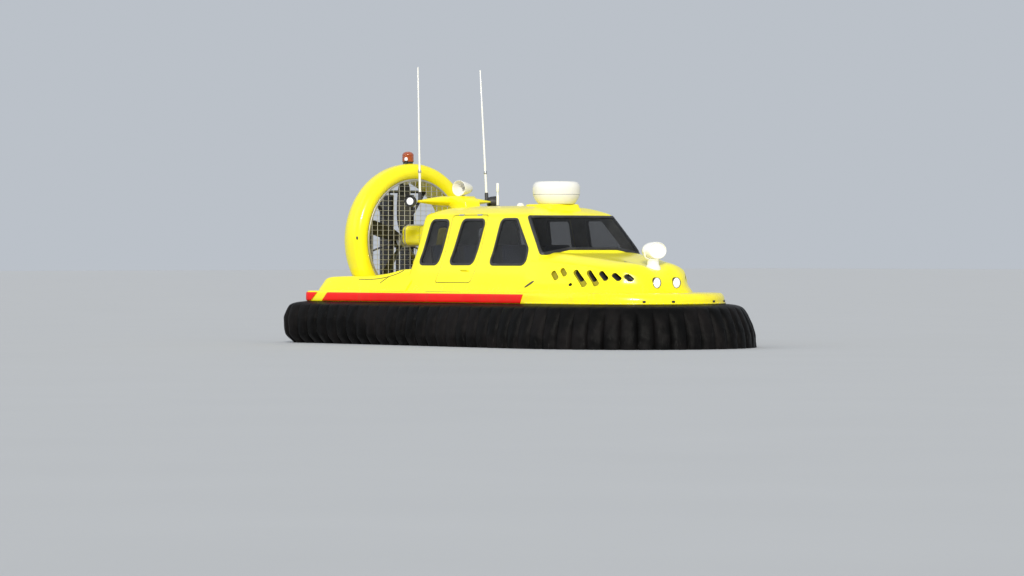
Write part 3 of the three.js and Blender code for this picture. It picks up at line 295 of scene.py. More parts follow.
def mesh_object(name, points, faces, finish, angle=32.0, uv=None, marks=None):
    """A mesh from points and faces. With several finishes, marks says which one each face takes."""
    mesh = bpy.data.meshes.new(name)
    mesh.from_pydata([tuple(map(float, p)) for p in points], [], [tuple(map(int, f)) for f in faces])
    for one in finish if isinstance(finish, tuple) else (finish,):
        mesh.materials.append(one)
    if marks is not None:
        mesh.polygons.foreach_set("material_index", np.asarray(marks, dtype=np.int32))
    if uv is not None:
        layer = mesh.uv_layers.new(name="UVMap")
        corner = np.zeros(len(mesh.loops), dtype=np.int32)
        mesh.loops.foreach_get("vertex_index", corner)
        layer.data.foreach_set("uv", np.asarray(uv, dtype=np.float32)[corner].ravel())
    made = shown(name, mesh)
    tidy(made, angle)
    return made


def tidy(made, angle=32.0):
    """Doubles merged, faces turned out, and edges sharper than the angle kept crisp."""
    work = bmesh.new()
    work.from_mesh(made.data)
    bmesh.ops.remove_doubles(work, verts=work.verts, dist=1e-5)
    bmesh.ops.recalc_face_normals(work, faces=work.faces)
    work.to_mesh(made.data)
    work.free()
    made.data.shade_smooth()
    made.data.set_sharp_from_angle(angle=math.radians(angle))


def grid_faces(rows, columns, closed_across=False, closed_along=False, start=0):
    """Quads between the rows of a grid of points."""
    faces = []
    for r in range(rows if closed_along else rows - 1):
        below, above = r * columns, ((r + 1) % rows) * columns
        for c in range(columns if closed_across else columns - 1):
            d = (c + 1) % columns
            faces.append((start + below + c, start + below + d, start + above + d, start + above + c))
    return faces


def lofted(rings):
    """Points and faces of a closed body through rings of points."""
    rings = np.asarray(rings)
    rows, columns = rings.shape[:2]
    faces = grid_faces(rows, columns, closed_across=True)
    faces += [tuple(range(columns))[::-1], tuple(range((rows - 1) * columns, rows * columns))]
    return rings.reshape(-1, 3), faces


def ray_tree(rings, closed_across=False):
    """A skin of rings, for points to be thrown onto."""
    faces = grid_faces(*rings.shape[:2], closed_across=closed_across)
    return BVHTree.FromPolygons([tuple(p) for p in rings.reshape(-1, 3)], faces)


def joined(*bodies):
    """Several bodies' points and faces as one."""
    points, faces, start = [], [], 0
    for body_points, body_faces in bodies:
        points += [tuple(p) for p in body_points]
        faces += [tuple(i + start for i in f) for f in body_faces]
        start += len(body_points)
    return np.array(points), faces


AXES = {"x": (1, 2, 0), "y": (0, 2, 1), "z": (0, 1, 2)}


def prism(outline, axis, low, high):
    u, v, along = AXES[axis]
    rings = np.zeros((2, len(outline), 3))
    rings[:, :, [u, v]] = np.asarray(outline)
    rings[0, :, along], rings[1, :, along] = low, high
    return lofted(rings)


def turned(profile, direction, at, segments=48, closed=False):
    """A turned body from [radius, height] points along a direction."""
    profile = np.asarray(profile, dtype=float)
    turn = Vector((0, 0, 1)).rotation_difference(Vector(direction)).to_matrix()
    angle = np.linspace(0, 2 * math.pi, segments, endpoint=False)
    around = np.stack([np.cos(angle), np.sin(angle)], -1)
    rings = np.zeros((len(profile), segments, 3))
    rings[:, :, :2] = profile[:, None, :1] * around[None]
    rings[:, :, 2] = profile[:, None, 1]
    points = rings.reshape(-1, 3) @ np.array(turn).T + np.asarray(at)
    faces = grid_faces(len(profile), segments, closed_across=True, closed_along=closed)
    return points, faces


def softened(points, rounds=2, closed=True):
    """Corners cut again and again until the outline is smooth."""
    points = np.asarray(points, dtype=float)
    for _ in range(rounds):
        after = np.roll(points, -1, 0) if closed else points[1:]
        before = points if closed else points[:-1]
        cut = np.stack([0.75 * before + 0.25 * after, 0.25 * before + 0.75 * after], 1)
        cut = cut.reshape(-1, *points.shape[1:])
        points = cut if closed else np.concatenate([points[:1], cut[1:-1], points[-1:]])
    return points


def rounded(corners, radius, steps=8):
    """A polygon with arcs at its corners."""
    corners = [Vector(c) for c in corners]
    points = []
    for i, corner in enumerate(corners):
        before = (corners[i - 1] - corner).normalized()
        after = (corners[(i + 1) % len(corners)] - corner).normalized()
        half = before.angle(after) / 2
        centre = corner + (before + after).normalized() * (radius / math.sin(half))
        start = corner + before * (radius / math.tan(half)) - centre
        end = corner + after * (radius / math.tan(half)) - centre
        turn = math.atan2(start.x * end.y - start.y * end.x, start.dot(end))
        for k in range(steps + 1):
            spoke = Matrix.Rotation(turn * k / steps, 2) @ start
            points.append(tuple(centre + spoke))
    return np.array(points)


def moved_in(outline, distance):
    """A smooth outline moved inwards."""
    outline = np.asarray(outline)
    along = np.roll(outline, -1, 0) - np.roll(outline, 1, 0)
    along /= np.linalg.norm(along, axis=1)[:, None] + 1e-12
    area = np.sum(outline[:, 0] * np.roll(outline[:, 1], -1) - np.roll(outline[:, 0], -1) * outline[:, 1])
    normal = np.stack([-along[:, 1], along[:, 0]], 1) * np.sign(area)
    return outline + normal * distance


def settled(made):
    """A piece's modifiers worked into a plain mesh."""
    graph = bpy.context.evaluated_depsgraph_get()
    result = bpy.data.meshes.new_from_object(made.evaluated_get(graph))
    made.modifiers.clear()
    made.data = result
    return made


def carve(made, body, operation="DIFFERENCE", angle=32.0, marks=None):
    """Cuts, or keeps, a body's volume in a piece, and leaves a plain mesh."""
    cutter = mesh_object("cutter", *body, tuple(made.data.materials), marks=marks)
    step = made.modifiers.new("carve", "BOOLEAN")
    step.object, step.operation, step.solver = cutter, operation, "EXACT"
    settled(made)
    bpy.data.objects.remove(cutter)
    made.data.shade_smooth()
    made.data.set_sharp_from_angle(angle=math.radians(angle))
    return made


def placed(made, body, *stands_for):
    """A finished piece rides on its body and stands for its CAD nodes."""
    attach(made, body)
    if stands_for:
        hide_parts(*stands_for)
    return made


def piece(name, shape, finish, *nodes, body="craft", angle=40.0, ease=0.0, less=None):
    """A finished piece. Its sharp edges may be eased, and a body taken away from it."""
    made = mesh_object(name, *shape, finish, angle)
    if ease:
        edge = made.modifiers.new("eased edges", "BEVEL")
        edge.width, edge.segments = ease, 3
        edge.limit_method, edge.angle_limit = "ANGLE", math.radians(38)
    if less is not None:
        carve(made, less, angle=angle)
    elif ease:
        settled(made)
        made.data.set_sharp_from_angle(angle=math.radians(angle))
    return placed(made, body, *nodes)


def tube(path, radius, segments=10, closed=False, up=(0.31, 0.52, 0.79)):
    """A round bar along a path. Its radius may change from point to point."""
    path = np.asarray(path, dtype=float)
    radii = np.broadcast_to(np.asarray(radius, dtype=float), len(path))
    along = np.roll(path, -1, 0) - np.roll(path, 1, 0) if closed else np.gradient(path, axis=0)
    along /= np.linalg.norm(along, axis=1)[:, None]
    turn = np.linspace(0, 2 * math.pi, segments, endpoint=False)
    side, rings = np.asarray(up, dtype=float), []
    for place, way, size in zip(path, along, radii):
        side = side - way * side.dot(way)
        side /= np.linalg.norm(side)
        rings.append(place + size * (np.outer(np.cos(turn), side)
                                     + np.outer(np.sin(turn), np.cross(way, side))))
    if closed:
        return np.concatenate(rings), grid_faces(len(rings), segments, True, True)
    return lofted(rings)


def rod(radius, direction, at, length, segments=20):
    return turned([(0, 0), (radius, 0), (radius, length), (0, length)], direction, at, segments)


# Heads, rods and rivets that repeat, set on points by Geometry Nodes

def fitting_tree():
    """A peg on each point, turned to its facing and given its own size."""
    tree = bpy.data.node_groups.new("repeated fittings", "GeometryNodeTree")
    inputs = (("Places", "Geometry"), ("Sides", "Int"), ("Taper", "Float"), ("Twist", "Float"),
              ("Seed", "Int"), ("Finish", "Material"))
    for name, kind in inputs:
        tree.interface.new_socket(name, in_out="INPUT", socket_type="NodeSocket" + kind)
    tree.interface.new_socket("Fittings", in_out="OUTPUT", socket_type="NodeSocketGeometry")
    g = Graph(tree)
    given = {socket.name: Value(g, socket) for socket in tree.nodes.new("NodeGroupInput").outputs
             if socket.name}
    attribute = lambda name: g.node("GeometryNodeInputNamedAttribute", {"data_type": "FLOAT_VECTOR"},
                                    {"Name": name})
    sockets = {"Vertices": given["Sides"], "Radius Top": given["Taper"], "Radius Bottom": 1.0, "Depth": 1.0}
    peg = g.node("GeometryNodeMeshCone", None, sockets)
    facing = g.node("FunctionNodeAlignRotationToVector", {"axis": "Z"}, {"Vector": attribute("facing")})
    sockets = {"Points": given["Places"], "Instance": peg, "Rotation": facing, "Scale": attribute("size")}
    pegs = g.node("GeometryNodeInstanceOnPoints", None, sockets)
    twist = g.node("FunctionNodeRandomValue", {"data_type": "FLOAT"},
                   {2: 0.0, 3: given["Twist"], "Seed": given["Seed"]}, 1)
    turn = g.node("CombineXYZ", None, {"Z": twist})
    pegs = g.node("GeometryNodeRotateInstances", None, {"Instances": pegs, "Rotation": turn})
    solid = g.node("GeometryNodeRealizeInstances", None, {"Geometry": pegs})
    coated = g.node("GeometryNodeSetMaterial", None, {"Geometry": solid, "Material": given["Finish"]})
    tree.links.new(coated.socket, tree.nodes.new("NodeGroupOutput").inputs["Fittings"])
    return tree


FITTINGS = fitting_tree()


def repeated(name, rows, finish, body="craft", sides=6, taper=0.8, twist=0.0, seed=3):
    """Pegs from rows of nine numbers: place, facing, then half width, half depth and length."""
    rows = np.array(rows, dtype=np.float32).reshape(-1, 9)
    mesh = bpy.data.meshes.new(name)
    mesh.from_pydata(rows[:, :3].tolist(), [], [])
    for key, first in (("facing", 3), ("size", 6)):
        layer = mesh.attributes.new(key, "FLOAT_VECTOR", "POINT")
        layer.data.foreach_set("vector", np.ascontiguousarray(rows[:, first:first + 3]).ravel())
    made = shown(name, mesh)
    step = made.modifiers.new("fittings", "NODES")
    step.node_group = FITTINGS
    chosen = {"Sides": sides, "Taper": taper, "Twist": twist, "Seed": seed, "Finish": finish}
    for socket in FITTINGS.interface.items_tree:
        if socket.name in chosen:
            step[socket.identifier] = chosen[socket.name]
    tidy(settled(made), 50.0)
    return placed(made, body)


def dressed(node, finish):
    """A CAD node that stays as it is takes a finish."""
    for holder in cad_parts[node].material_slots:
        holder.material = finish


# The hull's edge, seen from above

def half_outline(inset=0.0, bow_inset=None, corner_steps=16, side_steps=60, bow_steps=90):
    """The port edge, from the middle of the stern to the bow, moved in by one share, or two."""
    bow_inset = inset if bow_inset is None else bow_inset
    stern, bow = HULL["stern"] + inset, HULL["bow"] - bow_inset
    half, corner = HULL["half"] - inset, max(HULL["corner"] - inset, 0.09)
    length = HULL["bow_length"] - bow_inset
    turn = np.linspace(0, math.pi / 2, corner_steps)
    round_stern = np.stack([stern + corner * (1 - np.cos(turn)), half - corner * (1 - np.sin(turn))], 1)
    straight = np.linspace(stern + corner, bow - length, side_steps)[1:-1]
    straight = np.stack([straight, np.full(len(straight), half)], 1)
    turn = np.linspace(0, math.pi / 2, bow_steps)
    ahead = np.sin(turn) ** (2 / BOW_FULLNESS)
    aside = np.maximum(np.cos(turn), 0) ** (2 / BOW_FULLNESS)
    round_bow = np.stack([bow - length * (1 - ahead), half * aside], 1)
    round_bow[-1, 1] = 0
    return np.concatenate([[[stern, 0]], round_stern, straight, round_bow])


def both_sides(half):
    mirrored = half[1:-1][::-1] * [1, -1]
    return np.concatenate([half, mirrored])


def level_ring(z, inset, bow_inset=None):
    ring = both_sides(half_outline(inset, bow_inset))
    return np.column_stack([ring, np.full(len(ring), z)])


EDGE = half_outline(0.0, 0.0, 200, 600, 900)
EDGE_LENGTHS = np.concatenate([[0], np.cumsum(np.linalg.norm(np.diff(EDGE, axis=0), axis=1))])
EDGE_TOTAL = EDGE_LENGTHS[-1]


def edge_at(lengths):
    """Places and outward directions along the edge. Starboard is below nought, or past the bow."""
    lengths = np.asarray(lengths, dtype=float)
    lengths = np.where(lengths > EDGE_TOTAL, lengths - 2 * EDGE_TOTAL, lengths)
    side = np.where(lengths < 0, -1.0, 1.0)
    size = np.abs(lengths)
    take = lambda s: np.stack([np.interp(s, EDGE_LENGTHS, EDGE[:, k]) for k in (0, 1)], -1)
    step = 0.04
    along = take(np.minimum(size + step, EDGE_TOTAL)) - take(np.maximum(size - step, 0))
    along /= np.linalg.norm(along, axis=-1)[..., None]
    along[size <= 1e-6] = (0, 1)
    along[size >= EDGE_TOTAL - 1e-6] = (0, -1)
    outward = np.stack([-along[..., 1], along[..., 0]], -1)
    place = take(size)
    place[..., 1] *= side
    outward[..., 1] *= side
    return place, outward


def edge_length_at(x):
    straight = EDGE[:, 0] > HULL["stern"] + 0.1
    return float(np.interp(x, EDGE[straight, 0], EDGE_LENGTHS[straight]))


def steady(positions, table, at):
    """Columns of a table between their rows, smooth and without overshoot."""
    x, y, at = np.asarray(positions, float), np.asarray(table, float), np.asarray(at, float)
    step = np.diff(x)
    slope = np.diff(y, axis=0) / step[:, None]
    rate = np.zeros_like(y)
    same = slope[:-1] * slope[1:] > 0
    w1, w2 = (2 * step[1:] + step[:-1])[:, None], (step[1:] + 2 * step[:-1])[:, None]
    with np.errstate(divide="ignore", invalid="ignore"):
        inner = (w1 + w2) / (w1 / slope[:-1] + w2 / slope[1:])
    rate[1:-1] = np.where(same, inner, 0)
    rate[0], rate[-1] = slope[0], slope[-1]
    i = np.clip(np.searchsorted(x, at) - 1, 0, len(x) - 2)
    t = ((at - x[i]) / step[i])[:, None]
    h = step[i][:, None]
    return (y[i] * (1 + 2 * t) * (1 - t) ** 2 + rate[i] * h * t * (1 - t) ** 2
            + y[i + 1] * t * t * (3 - 2 * t) + rate[i + 1] * h * t * t * (t - 1))


# Skirt: an inflated bag above pleated fingers

# Columns: height, reach outward at the bow and at the stern, depth of the pleats.
SKIRT_OUTER = [
    (0.5917, -0.002, -0.002, 0.0), (0.575, 0.145, 0.14, 0.0), (0.54, 0.235, 0.235, 0.01),
    (0.43, 0.305, 0.29, 0.03), (0.32, 0.345, 0.308, 0.045), (0.15, 0.393, 0.29, 0.05),
    (0.003, 0.402, 0.165, 0.05),
]
SKIRT_INNER = [(0.003, 0.31, 0.09, 0.0), (0.2, 0.06, 0.01, 0.0), (0.376, -0.142, -0.142, 0.0),
               (0.5917, -0.028, -0.028, 0.0)]
FINGER = 0.22
FINGER_REACH = 0.3
OUTER_ROWS, INNER_ROWS, PER_FINGER = 43, 12, 12


def finger_lengths(start, end):
    """Lengths along the edge, so many to a finger, evenly spaced where the fingers stand out."""
    if end > EDGE_TOTAL:
        half = finger_lengths(start, EDGE_TOTAL)
        return np.concatenate([half, 2 * EDGE_TOTAL - half[:-1][::-1]])
    walk = np.linspace(start, end, 900)
    place, outward = edge_at(walk)
    step = np.linalg.norm(np.diff(place + outward * FINGER_REACH, axis=0), axis=1)
    run = np.concatenate([[0], np.cumsum(step)])
    fingers = round(run[-1] / FINGER)
    return np.interp(np.linspace(0, run[-1], fingers * PER_FINGER + 1), run, walk)


def skirt_share(x):
    share = np.clip((x + 3.2) / 6.1, 0, 1)
    return share * share * (3 - 2 * share)


def skirt_rows(rows, steps):
    """A profile's columns, smoothed between its rows."""
    return steady(np.arange(len(rows)), np.asarray(rows), np.linspace(0, len(rows) - 1, steps))


def skirt_piece(name, start, end, node):
    """One length of skirt: each finger bellies out between two creases, and the cloth is a little slack."""
    lengths = finger_lengths(start, end)
    phase = (np.arange(len(lengths)) / PER_FINGER) % 1
    pleat = (1 - np.abs(2 * phase - 1) ** 2.4) ** 0.75 - 0.5
    place, outward = edge_at(lengths)
    rows = np.concatenate([skirt_rows(SKIRT_OUTER, OUTER_ROWS), skirt_rows(SKIRT_INNER, INNER_ROWS)])
    share = skirt_share(place[:, 0])[:, None]
    at_bow, at_stern, depth = rows[None, :, 1], rows[None, :, 2], rows[None, :, 3]
    reach = at_stern + (at_bow - at_stern) * share + pleat[:, None] * depth
    z = np.repeat(rows[None, :, 0], len(lengths), 0)
    s = np.arange(len(lengths))[:, None] * FINGER / PER_FINGER
    slack = np.clip((0.56 - z) / 0.2, 0, 1) * (np.arange(len(rows)) < OUTER_ROWS)
    ripple = (0.0022 * np.sin(s * 31 + z * 23) + 0.0018 * np.sin(s * 17 - z * 41 + 1.3)
              + 0.0015 * np.sin(s * 53 + z * 9))
    near_crease = np.minimum(phase, 1 - phase)[:, None] * PER_FINGER
    pucker = 0.007 * np.exp(-((near_crease / 1.2) ** 2)) * np.sin(z * 70 + s * 3) ** 2
    reach = reach + slack * (ripple - pucker)
    points = np.zeros((*reach.shape, 3))
    points[..., :2] = place[:, None] + outward[:, None] * reach[..., None]
    points[..., 2] = z
    run = np.concatenate([[0], np.cumsum(np.hypot(*np.diff(rows[:, [0, 1]], axis=0).T))])
    uv = np.stack([np.repeat(s, len(run), 1), np.repeat(run[None], len(lengths), 0)], -1).reshape(-1, 2)
    made = mesh_object(name, *lofted(points), SKIRT, 50, uv)
    return placed(made, "craft", node)


STERN_SPLIT, BOW_SPLIT = edge_length_at(-2.95), edge_length_at(1.45)
SKIRT_RUNS = {
    "stern": (-STERN_SPLIT, STERN_SPLIT),
    "port": (STERN_SPLIT, BOW_SPLIT),
    "starboard": (-BOW_SPLIT, -STERN_SPLIT),
    "bow": (BOW_SPLIT, 2 * EDGE_TOTAL - BOW_SPLIT),
}
for side_name, run in SKIRT_RUNS.items():
    skirt_piece(f"skirt_bag_{side_name}", *run, f"skirt_{side_name}")


# Rubbing strip and deck

def swept(name, lengths, profile, finish, *nodes, angle=40.0):
    """A section of [outward, height] points carried along the hull's edge."""
    place, outward = edge_at(lengths)
    profile = np.asarray(profile)
    rings = np.zeros((len(lengths), len(profile), 3))
    rings[..., :2] = place[:, None] + outward[:, None] * profile[None, :, :1]
    rings[..., 2] = profile[:, 1]
    return placed(mesh_object(name, *lofted(rings), finish, angle), "craft", *nodes)


STRIP = softened([(-0.012, 0.598), (0.005, 0.6), (0.011, 0.611), (0.011, 0.706), (0.005, 0.718),
                  (-0.012, 0.722)], 1)
STRIP_END = (1.3, 1.375)
# A yellow slash breaks the strip near the stern: its low and high stations, behind and in front.
SLASH = dict(behind=(-3.245, -3.035), front=(-2.99, -2.8))


def slanted(low_x, high_x, beyond, side):
    """All of one side's edge from a slanted line on."""
    outline = [(low_x, 0.58), (low_x + beyond, 0.58), (low_x + beyond, 0.76), (high_x, 0.76)]
    return prism(outline, "y", *sorted((side * 1.0, side * 1.6)))


def build_strip():
    reach = edge_length_at(-2.82)
    stern = swept("rubbing_strip_stern", np.linspace(-reach, reach, 360), STRIP, RED, "strake_stern")
    for name, side in SIDES:
        carve(stern, slanted(*SLASH["behind"], 0.9, side), angle=40)
        lengths = side * np.linspace(edge_length_at(-3.2), edge_length_at(STRIP_END[1]), 90)
        strip = swept(f"rubbing_strip_{name}", lengths, STRIP, RED, f"strake_{name}")
        carve(strip, slanted(*STRIP_END, 0.4, side), angle=40)
        carve(strip, slanted(*SLASH["front"], -0.4, side), angle=40)


def duct_barrel(radius, rear=-3.02, front=-2.322):
    return turned([(0, rear - DUCT["x"]), (radius, rear - DUCT["x"]), (radius, front - DUCT["x"]),
                   (0, front - DUCT["x"])], (1, 0, 0), (DUCT["x"], 0, DUCT["z"]), 96)


# Columns: station, then half width and height of the nose's foot, side, shoulder and hump; centre.
NOSE = np.array([
    (1.08, 1.225, 1.108, 0.900, 0.985, 1.150, 0.700, 1.290, 1.300),
    (1.30, 1.205, 1.095, 0.900, 0.965, 1.148, 0.690, 1.280, 1.290),
    (1.70, 1.110, 1.000, 0.890, 0.885, 1.120, 0.590, 1.235, 1.240),
    (2.15, 0.920, 0.820, 0.870, 0.735, 1.075, 0.440, 1.170, 1.150),
    (2.48, 0.710, 0.630, 0.850, 0.570, 1.020, 0.330, 1.125, 1.070),
    (2.60, 0.600, 0.510, 0.840, 0.460, 0.970, 0.270, 1.065, 1.030),
    (2.69, 0.480, 0.400, 0.820, 0.350, 0.900, 0.210, 0.970, 0.955),
    (2.74, 0.380, 0.310, 0.790, 0.260, 0.850, 0.150, 0.880, 0.875),
])
NOSE_START, NOSE_END = NOSE[0, 0], NOSE[-1, 0]
# Columns: station and height of a louvre's top end, then of its low end, its radius, its depth, and
# its painted shade: 0 none, yellow; 1 black, painted shade deep inside; 2 olive, painted shade in a recess.
LOUVRES = [
    (1.56, 1.005, 1.63, 0.94, 0.033, 0.034, 2), (1.675, 1.045, 1.885, 0.85, 0.033, 0.006, 0),
    (1.885, 1.02, 2.065, 0.85, 0.033, 0.034, 2), (2.07, 1.015, 2.215, 0.86, 0.033, 0.034, 2),
    (2.235, 1.005, 2.31, 0.93, 0.033, 0.01, 2), (2.4, 0.98, 2.46, 0.93, 0.033, 0.01, 2),
    (2.535, 0.965, 2.575, 0.922, 0.033, 0.01, 2),
]
# Deeper pockets inside the louvres, in the same columns; their black and olive walls are painted shade.
POCKETS = [
    (1.677, 1.043, 1.735, 0.989, 0.03, 0.034, 2), (1.874, 0.856, 1.884, 0.848, 0.019, 0.12, 1),
    (1.888, 1.017, 1.99, 0.921, 0.03, 0.16, 1), (2.072, 1.012, 2.158, 0.92, 0.03, 0.16, 1),
    (2.236, 1.003, 2.3, 0.939, 0.03, 0.16, 1), (2.402, 0.978, 2.455, 0.934, 0.03, 0.16, 1),
    (2.536, 0.963, 2.572, 0.925, 0.028, 0.1, 1),
]


def nose_rings(inset, bottom, start, end, count):
    """Sections across the nose, rounded between their shoulders."""
    x = np.linspace(start, end, count)
    foot, side, side_z, shoulder, shoulder_z, hump, hump_z, centre_z = steady(NOSE[:, 0], NOSE[:, 1:], x).T
    i = inset
    flare = 0.0 if inset else 0.035
    half = [
        (foot - i + flare, x * 0 + bottom), (foot - i + flare * 0.3, x * 0 + bottom + flare * 0.1),
        (foot - i - 0.01, x * 0 + bottom + flare), (side - i, side_z - i / 4),
        (shoulder - i + 0.012, shoulder_z - i / 2 - 0.02),
        (shoulder - i - 0.012, shoulder_z - i / 2 + 0.03), (hump - i / 2 + 0.06, hump_z - i - 0.005),
        (hump - i / 2 - 0.06, hump_z - i + 0.005), (hump * 0.5, (hump_z + centre_z) / 2 - i),
        (x * 0, centre_z - i),
    ]
    half = np.stack([np.stack(pair, 1) for pair in half])
    whole = np.concatenate([half, half[:-1][::-1] * [-1, 1]])
    smooth = softened(whole, 3, closed=False)
    across = smooth.transpose(1, 0, 2)
    return np.concatenate([np.broadcast_to(x[:, None, None], (*across.shape[:2], 1)), across], -1)


def capsule(start, end, radius, steps=9):
    lean = math.atan2(end[1] - start[1], end[0] - start[0])
    turn = np.linspace(-math.pi / 2, math.pi / 2, steps)
    front = [(end[0] + radius * math.cos(lean + t), end[1] + radius * math.sin(lean + t)) for t in turn]
    back = [(start[0] - radius * math.cos(lean + t), start[1] - radius * math.sin(lean + t)) for t in turn]
    return front + back


HOOD = dict(rear=1.455, front=2.25, half=0.43, thickness=0.034)
BAY = nose_rings(0.075, 0.572, 1.4, 2.37, 30)
LAMP = dict(x=2.68, y=0.18, z=0.877, radius=0.072)
NOSE_SKIN = nose_rings(0.0, DECK_TOP + 0.0004, NOSE_START, NOSE_END, 190)
NOSE_TREE = ray_tree(NOSE_SKIN)


def on_nose(x, z, side):
    """The nose's side at a station and a height."""
    spot, *_ = NOSE_TREE.ray_cast(Vector((x, side * 2.0, z)), Vector((0, -side, 0)))
    return spot.y


def louvre_cuts(table):
    """The openings of a table of louvres, on both sides, and the finish of each face: black and olive faces
    are painted shade.
    """
    bodies, marks = [], []
    for _, side in SIDES:
        for x1, z1, x2, z2, radius, depth, lining in table:
            # The lining column is painted shade: 1 black, 2 olive.
            outline = capsule((x1, z1), (x2, z2), radius)
            rings = [[(x, on_nose(x, z, side) - side * down, z) for x, z in outline]
                     for down in (-0.05, 0.002, depth)]
            bodies.append(lofted(rings))
            marks += [0] * len(outline) + [lining] * len(outline) + [0, lining]
    return joined(*bodies), marks


def hood_outline(inset):
    h = HOOD
    corners = [(h["rear"] + inset, -h["half"] + inset), (h["front"] - inset, -h["half"] + 0.09 + inset),
               (h["front"] - inset, h["half"] - 0.09 - inset), (h["rear"] + inset, h["half"] - inset)]
    return rounded(corners, 0.06)


# Columns: height, rear end, front end, half width, rear corner, front corner, bulge of the front.
CABIN = np.array([
    (0.7403, -1.500, 1.330, 1.205, 0.13, 0.13, 0.02),
    (0.860, -1.500, 1.330, 1.110, 0.13, 0.13, 0.02),
    (1.000, -1.500, 1.330, 1.030, 0.13, 0.11, 0.02),
    (1.100, -1.498, 1.330, 0.985, 0.13, 0.10, 0.03),
    (1.300, -1.490, 1.300, 0.905, 0.13, 0.07, 0.06),
    (1.800, -1.459, 0.907, 0.752, 0.13, 0.07, 0.06),
    (1.848, -1.400, 0.800, 0.664, 0.15, 0.09, 0.05),
    (1.902, -1.255, 0.620, 0.500, 0.18, 0.11, 0.04),
    (1.930, -1.000, 0.380, 0.260, 0.12, 0.09, 0.02),
])
ROOF_FROM, RAKED_FROM = 6, 4


def cabin_ring(z, rear, front, half, rear_corner, front_corner, bulge, steps=9, side_steps=22):
    turn = np.linspace(0, math.pi / 2, steps)
    back = np.stack([rear + rear_corner * (1 - np.cos(turn)), half - rear_corner * (1 - np.sin(turn))], 1)
    edge = front - bulge
    ahead = np.stack([edge - front_corner * (1 - np.sin(turn)),
                      half - front_corner * (1 - np.cos(turn))], 1)
    side = np.linspace(back[-1], ahead[0], side_steps)[1:-1]
    share = np.linspace(1, 0, 14)[1:]
    wide = half - front_corner
    nose = np.stack([front - bulge * share**2, wide * share], 1)
    back_wall = np.stack([np.full(7, rear), np.linspace(0, half - rear_corner, 8)[:-1]], 1)
    ring = both_sides(np.concatenate([back_wall, back, side, ahead, nose]))
    return np.column_stack([ring, np.full(len(ring), z)])


def cabin_rings(inset, bottom=None, per_level=7):
    levels = CABIN.copy()
    order = np.arange(len(levels))
    levels[:, 0] -= np.where(order >= ROOF_FROM, inset * (order - ROOF_FROM + 2) / 4, 0)
    levels[:, 1] += inset
    levels[:, 2] -= np.where(order >= RAKED_FROM, inset * 1.27, inset)
    levels[:, 3] -= inset * 1.07
    levels[:, 4:6] = np.maximum(levels[:, 4:6] - inset, 0.02)
    smooth = steady(order, levels, np.linspace(0, len(levels) - 1, (len(levels) - 1) * per_level + 1))
    rings = [cabin_ring(*row) for row in smooth]
    if bottom is not None:
        rings.insert(0, np.column_stack([rings[0][:, :2], np.full(len(rings[0]), bottom)]))
    return np.array(rings)


def build_deck():
    levels = [(DECK_BOTTOM, 0.012, 0.012), (0.596, 0.003, 0.003), (0.603, 0, 0), (0.64, 0, 0),
              (0.67, 0.001, 0.008), (0.7, 0.002, 0.028), (0.722, 0.005, 0.055), (0.733, 0.013, 0.078),
              (DECK_TOP, 0.03, 0.11)]
    deck = mesh_object("deck_plate", *lofted([level_ring(*level) for level in levels]), YELLOW)
    hole = cabin_ring(0, -1.46, 1.29, 1.15, 0.11, 0.11, 0.0)[:, :2]
    carve(deck, prism(hole, "z", 0.5, 0.9))
    well = rounded([(WELL["rear"], -WELL["half"]), (WELL["front"], -WELL["half"]),
                    (WELL["front"], WELL["half"]), (WELL["rear"], WELL["half"])], 0.05)
    carve(deck, prism(well, "z", WELL["floor"], 1.2))
    carve(deck, duct_barrel(DUCT_OUTER + 0.0003))
    carve(deck, lofted(BAY))
    placed(deck, "craft", "deck_moulding")

    nose = mesh_object("nose_moulding", *lofted(NOSE_SKIN), (YELLOW, TRIM, RECESS_SHADE_OLIVE), 40)
    carve(nose, lofted(cabin_rings(-0.0003, DECK_TOP - 0.05)))
    bay = lofted(BAY)
    carve(nose, bay, marks=[1] * len(bay[1]))
    carve(nose, prism(hood_outline(-0.004), "z", 1.0, 1.5))
    # Black and olive louvre faces are painted shade for the dark inside the openings.
    for table in (LOUVRES, POCKETS):
        cuts, marks = louvre_cuts(table)
        carve(nose, cuts, angle=40, marks=marks)
    bore = [(0, -0.06), (LAMP["radius"] + 0.002, -0.06), (LAMP["radius"] + 0.002, 0.2), (0, 0.2)]
    bores = [turned(bore, (1, 0, 0), (LAMP["x"], side * LAMP["y"], LAMP["z"]), 40) for _, side in SIDES]
    carve(nose, joined(*bores), angle=40)
    placed(nose, "craft", "deck_moulding")

    inner = lofted(nose_rings(HOOD["thickness"], 0.65, NOSE_START, NOSE_END, 90))
    outer = nose_rings(0.0, DECK_TOP, NOSE_START, NOSE_END, 120)
    hood = mesh_object("hood_panel", *lofted(outer), YELLOW, 40)
    carve(hood, prism(hood_outline(0.004), "z", 1.0, 1.5), "INTERSECT")
    carve(hood, inner)
    placed(hood, "hood", "hood")


# Columns: station, half width at the deck, half width at the top, top height.
COAMING = np.array([
    (-3.31, 1.06, 1.03, 0.756), (-3.3, 1.095, 1.06, 0.806), (-3.27, 1.165, 1.1, 0.868),
    (-3.2, 1.213, 1.122, 0.917), (-3.06, 1.24, 1.135, 0.938), (-2.2, 1.24, 1.12, 0.957),
    (-1.85, 1.235, 1.09, 0.99), (-1.56, 1.212, 1.015, 1.045), (-1.3, 1.205, 0.985, 1.055),
])
# Black tubes on the coaming's side, as [station, height]: painted shadow under its rolled edge, and down
# the seam.
COAMING_SHADOW_AND_SEAM_LINES = [
    [(-2.42, 0.905), (-2.1, 0.903), (-1.86, 0.928), (-1.68, 0.975), (-1.565, 1.035)],
    [(-1.8, 0.935), (-1.86, 0.895), (-1.9, 0.85)],
]


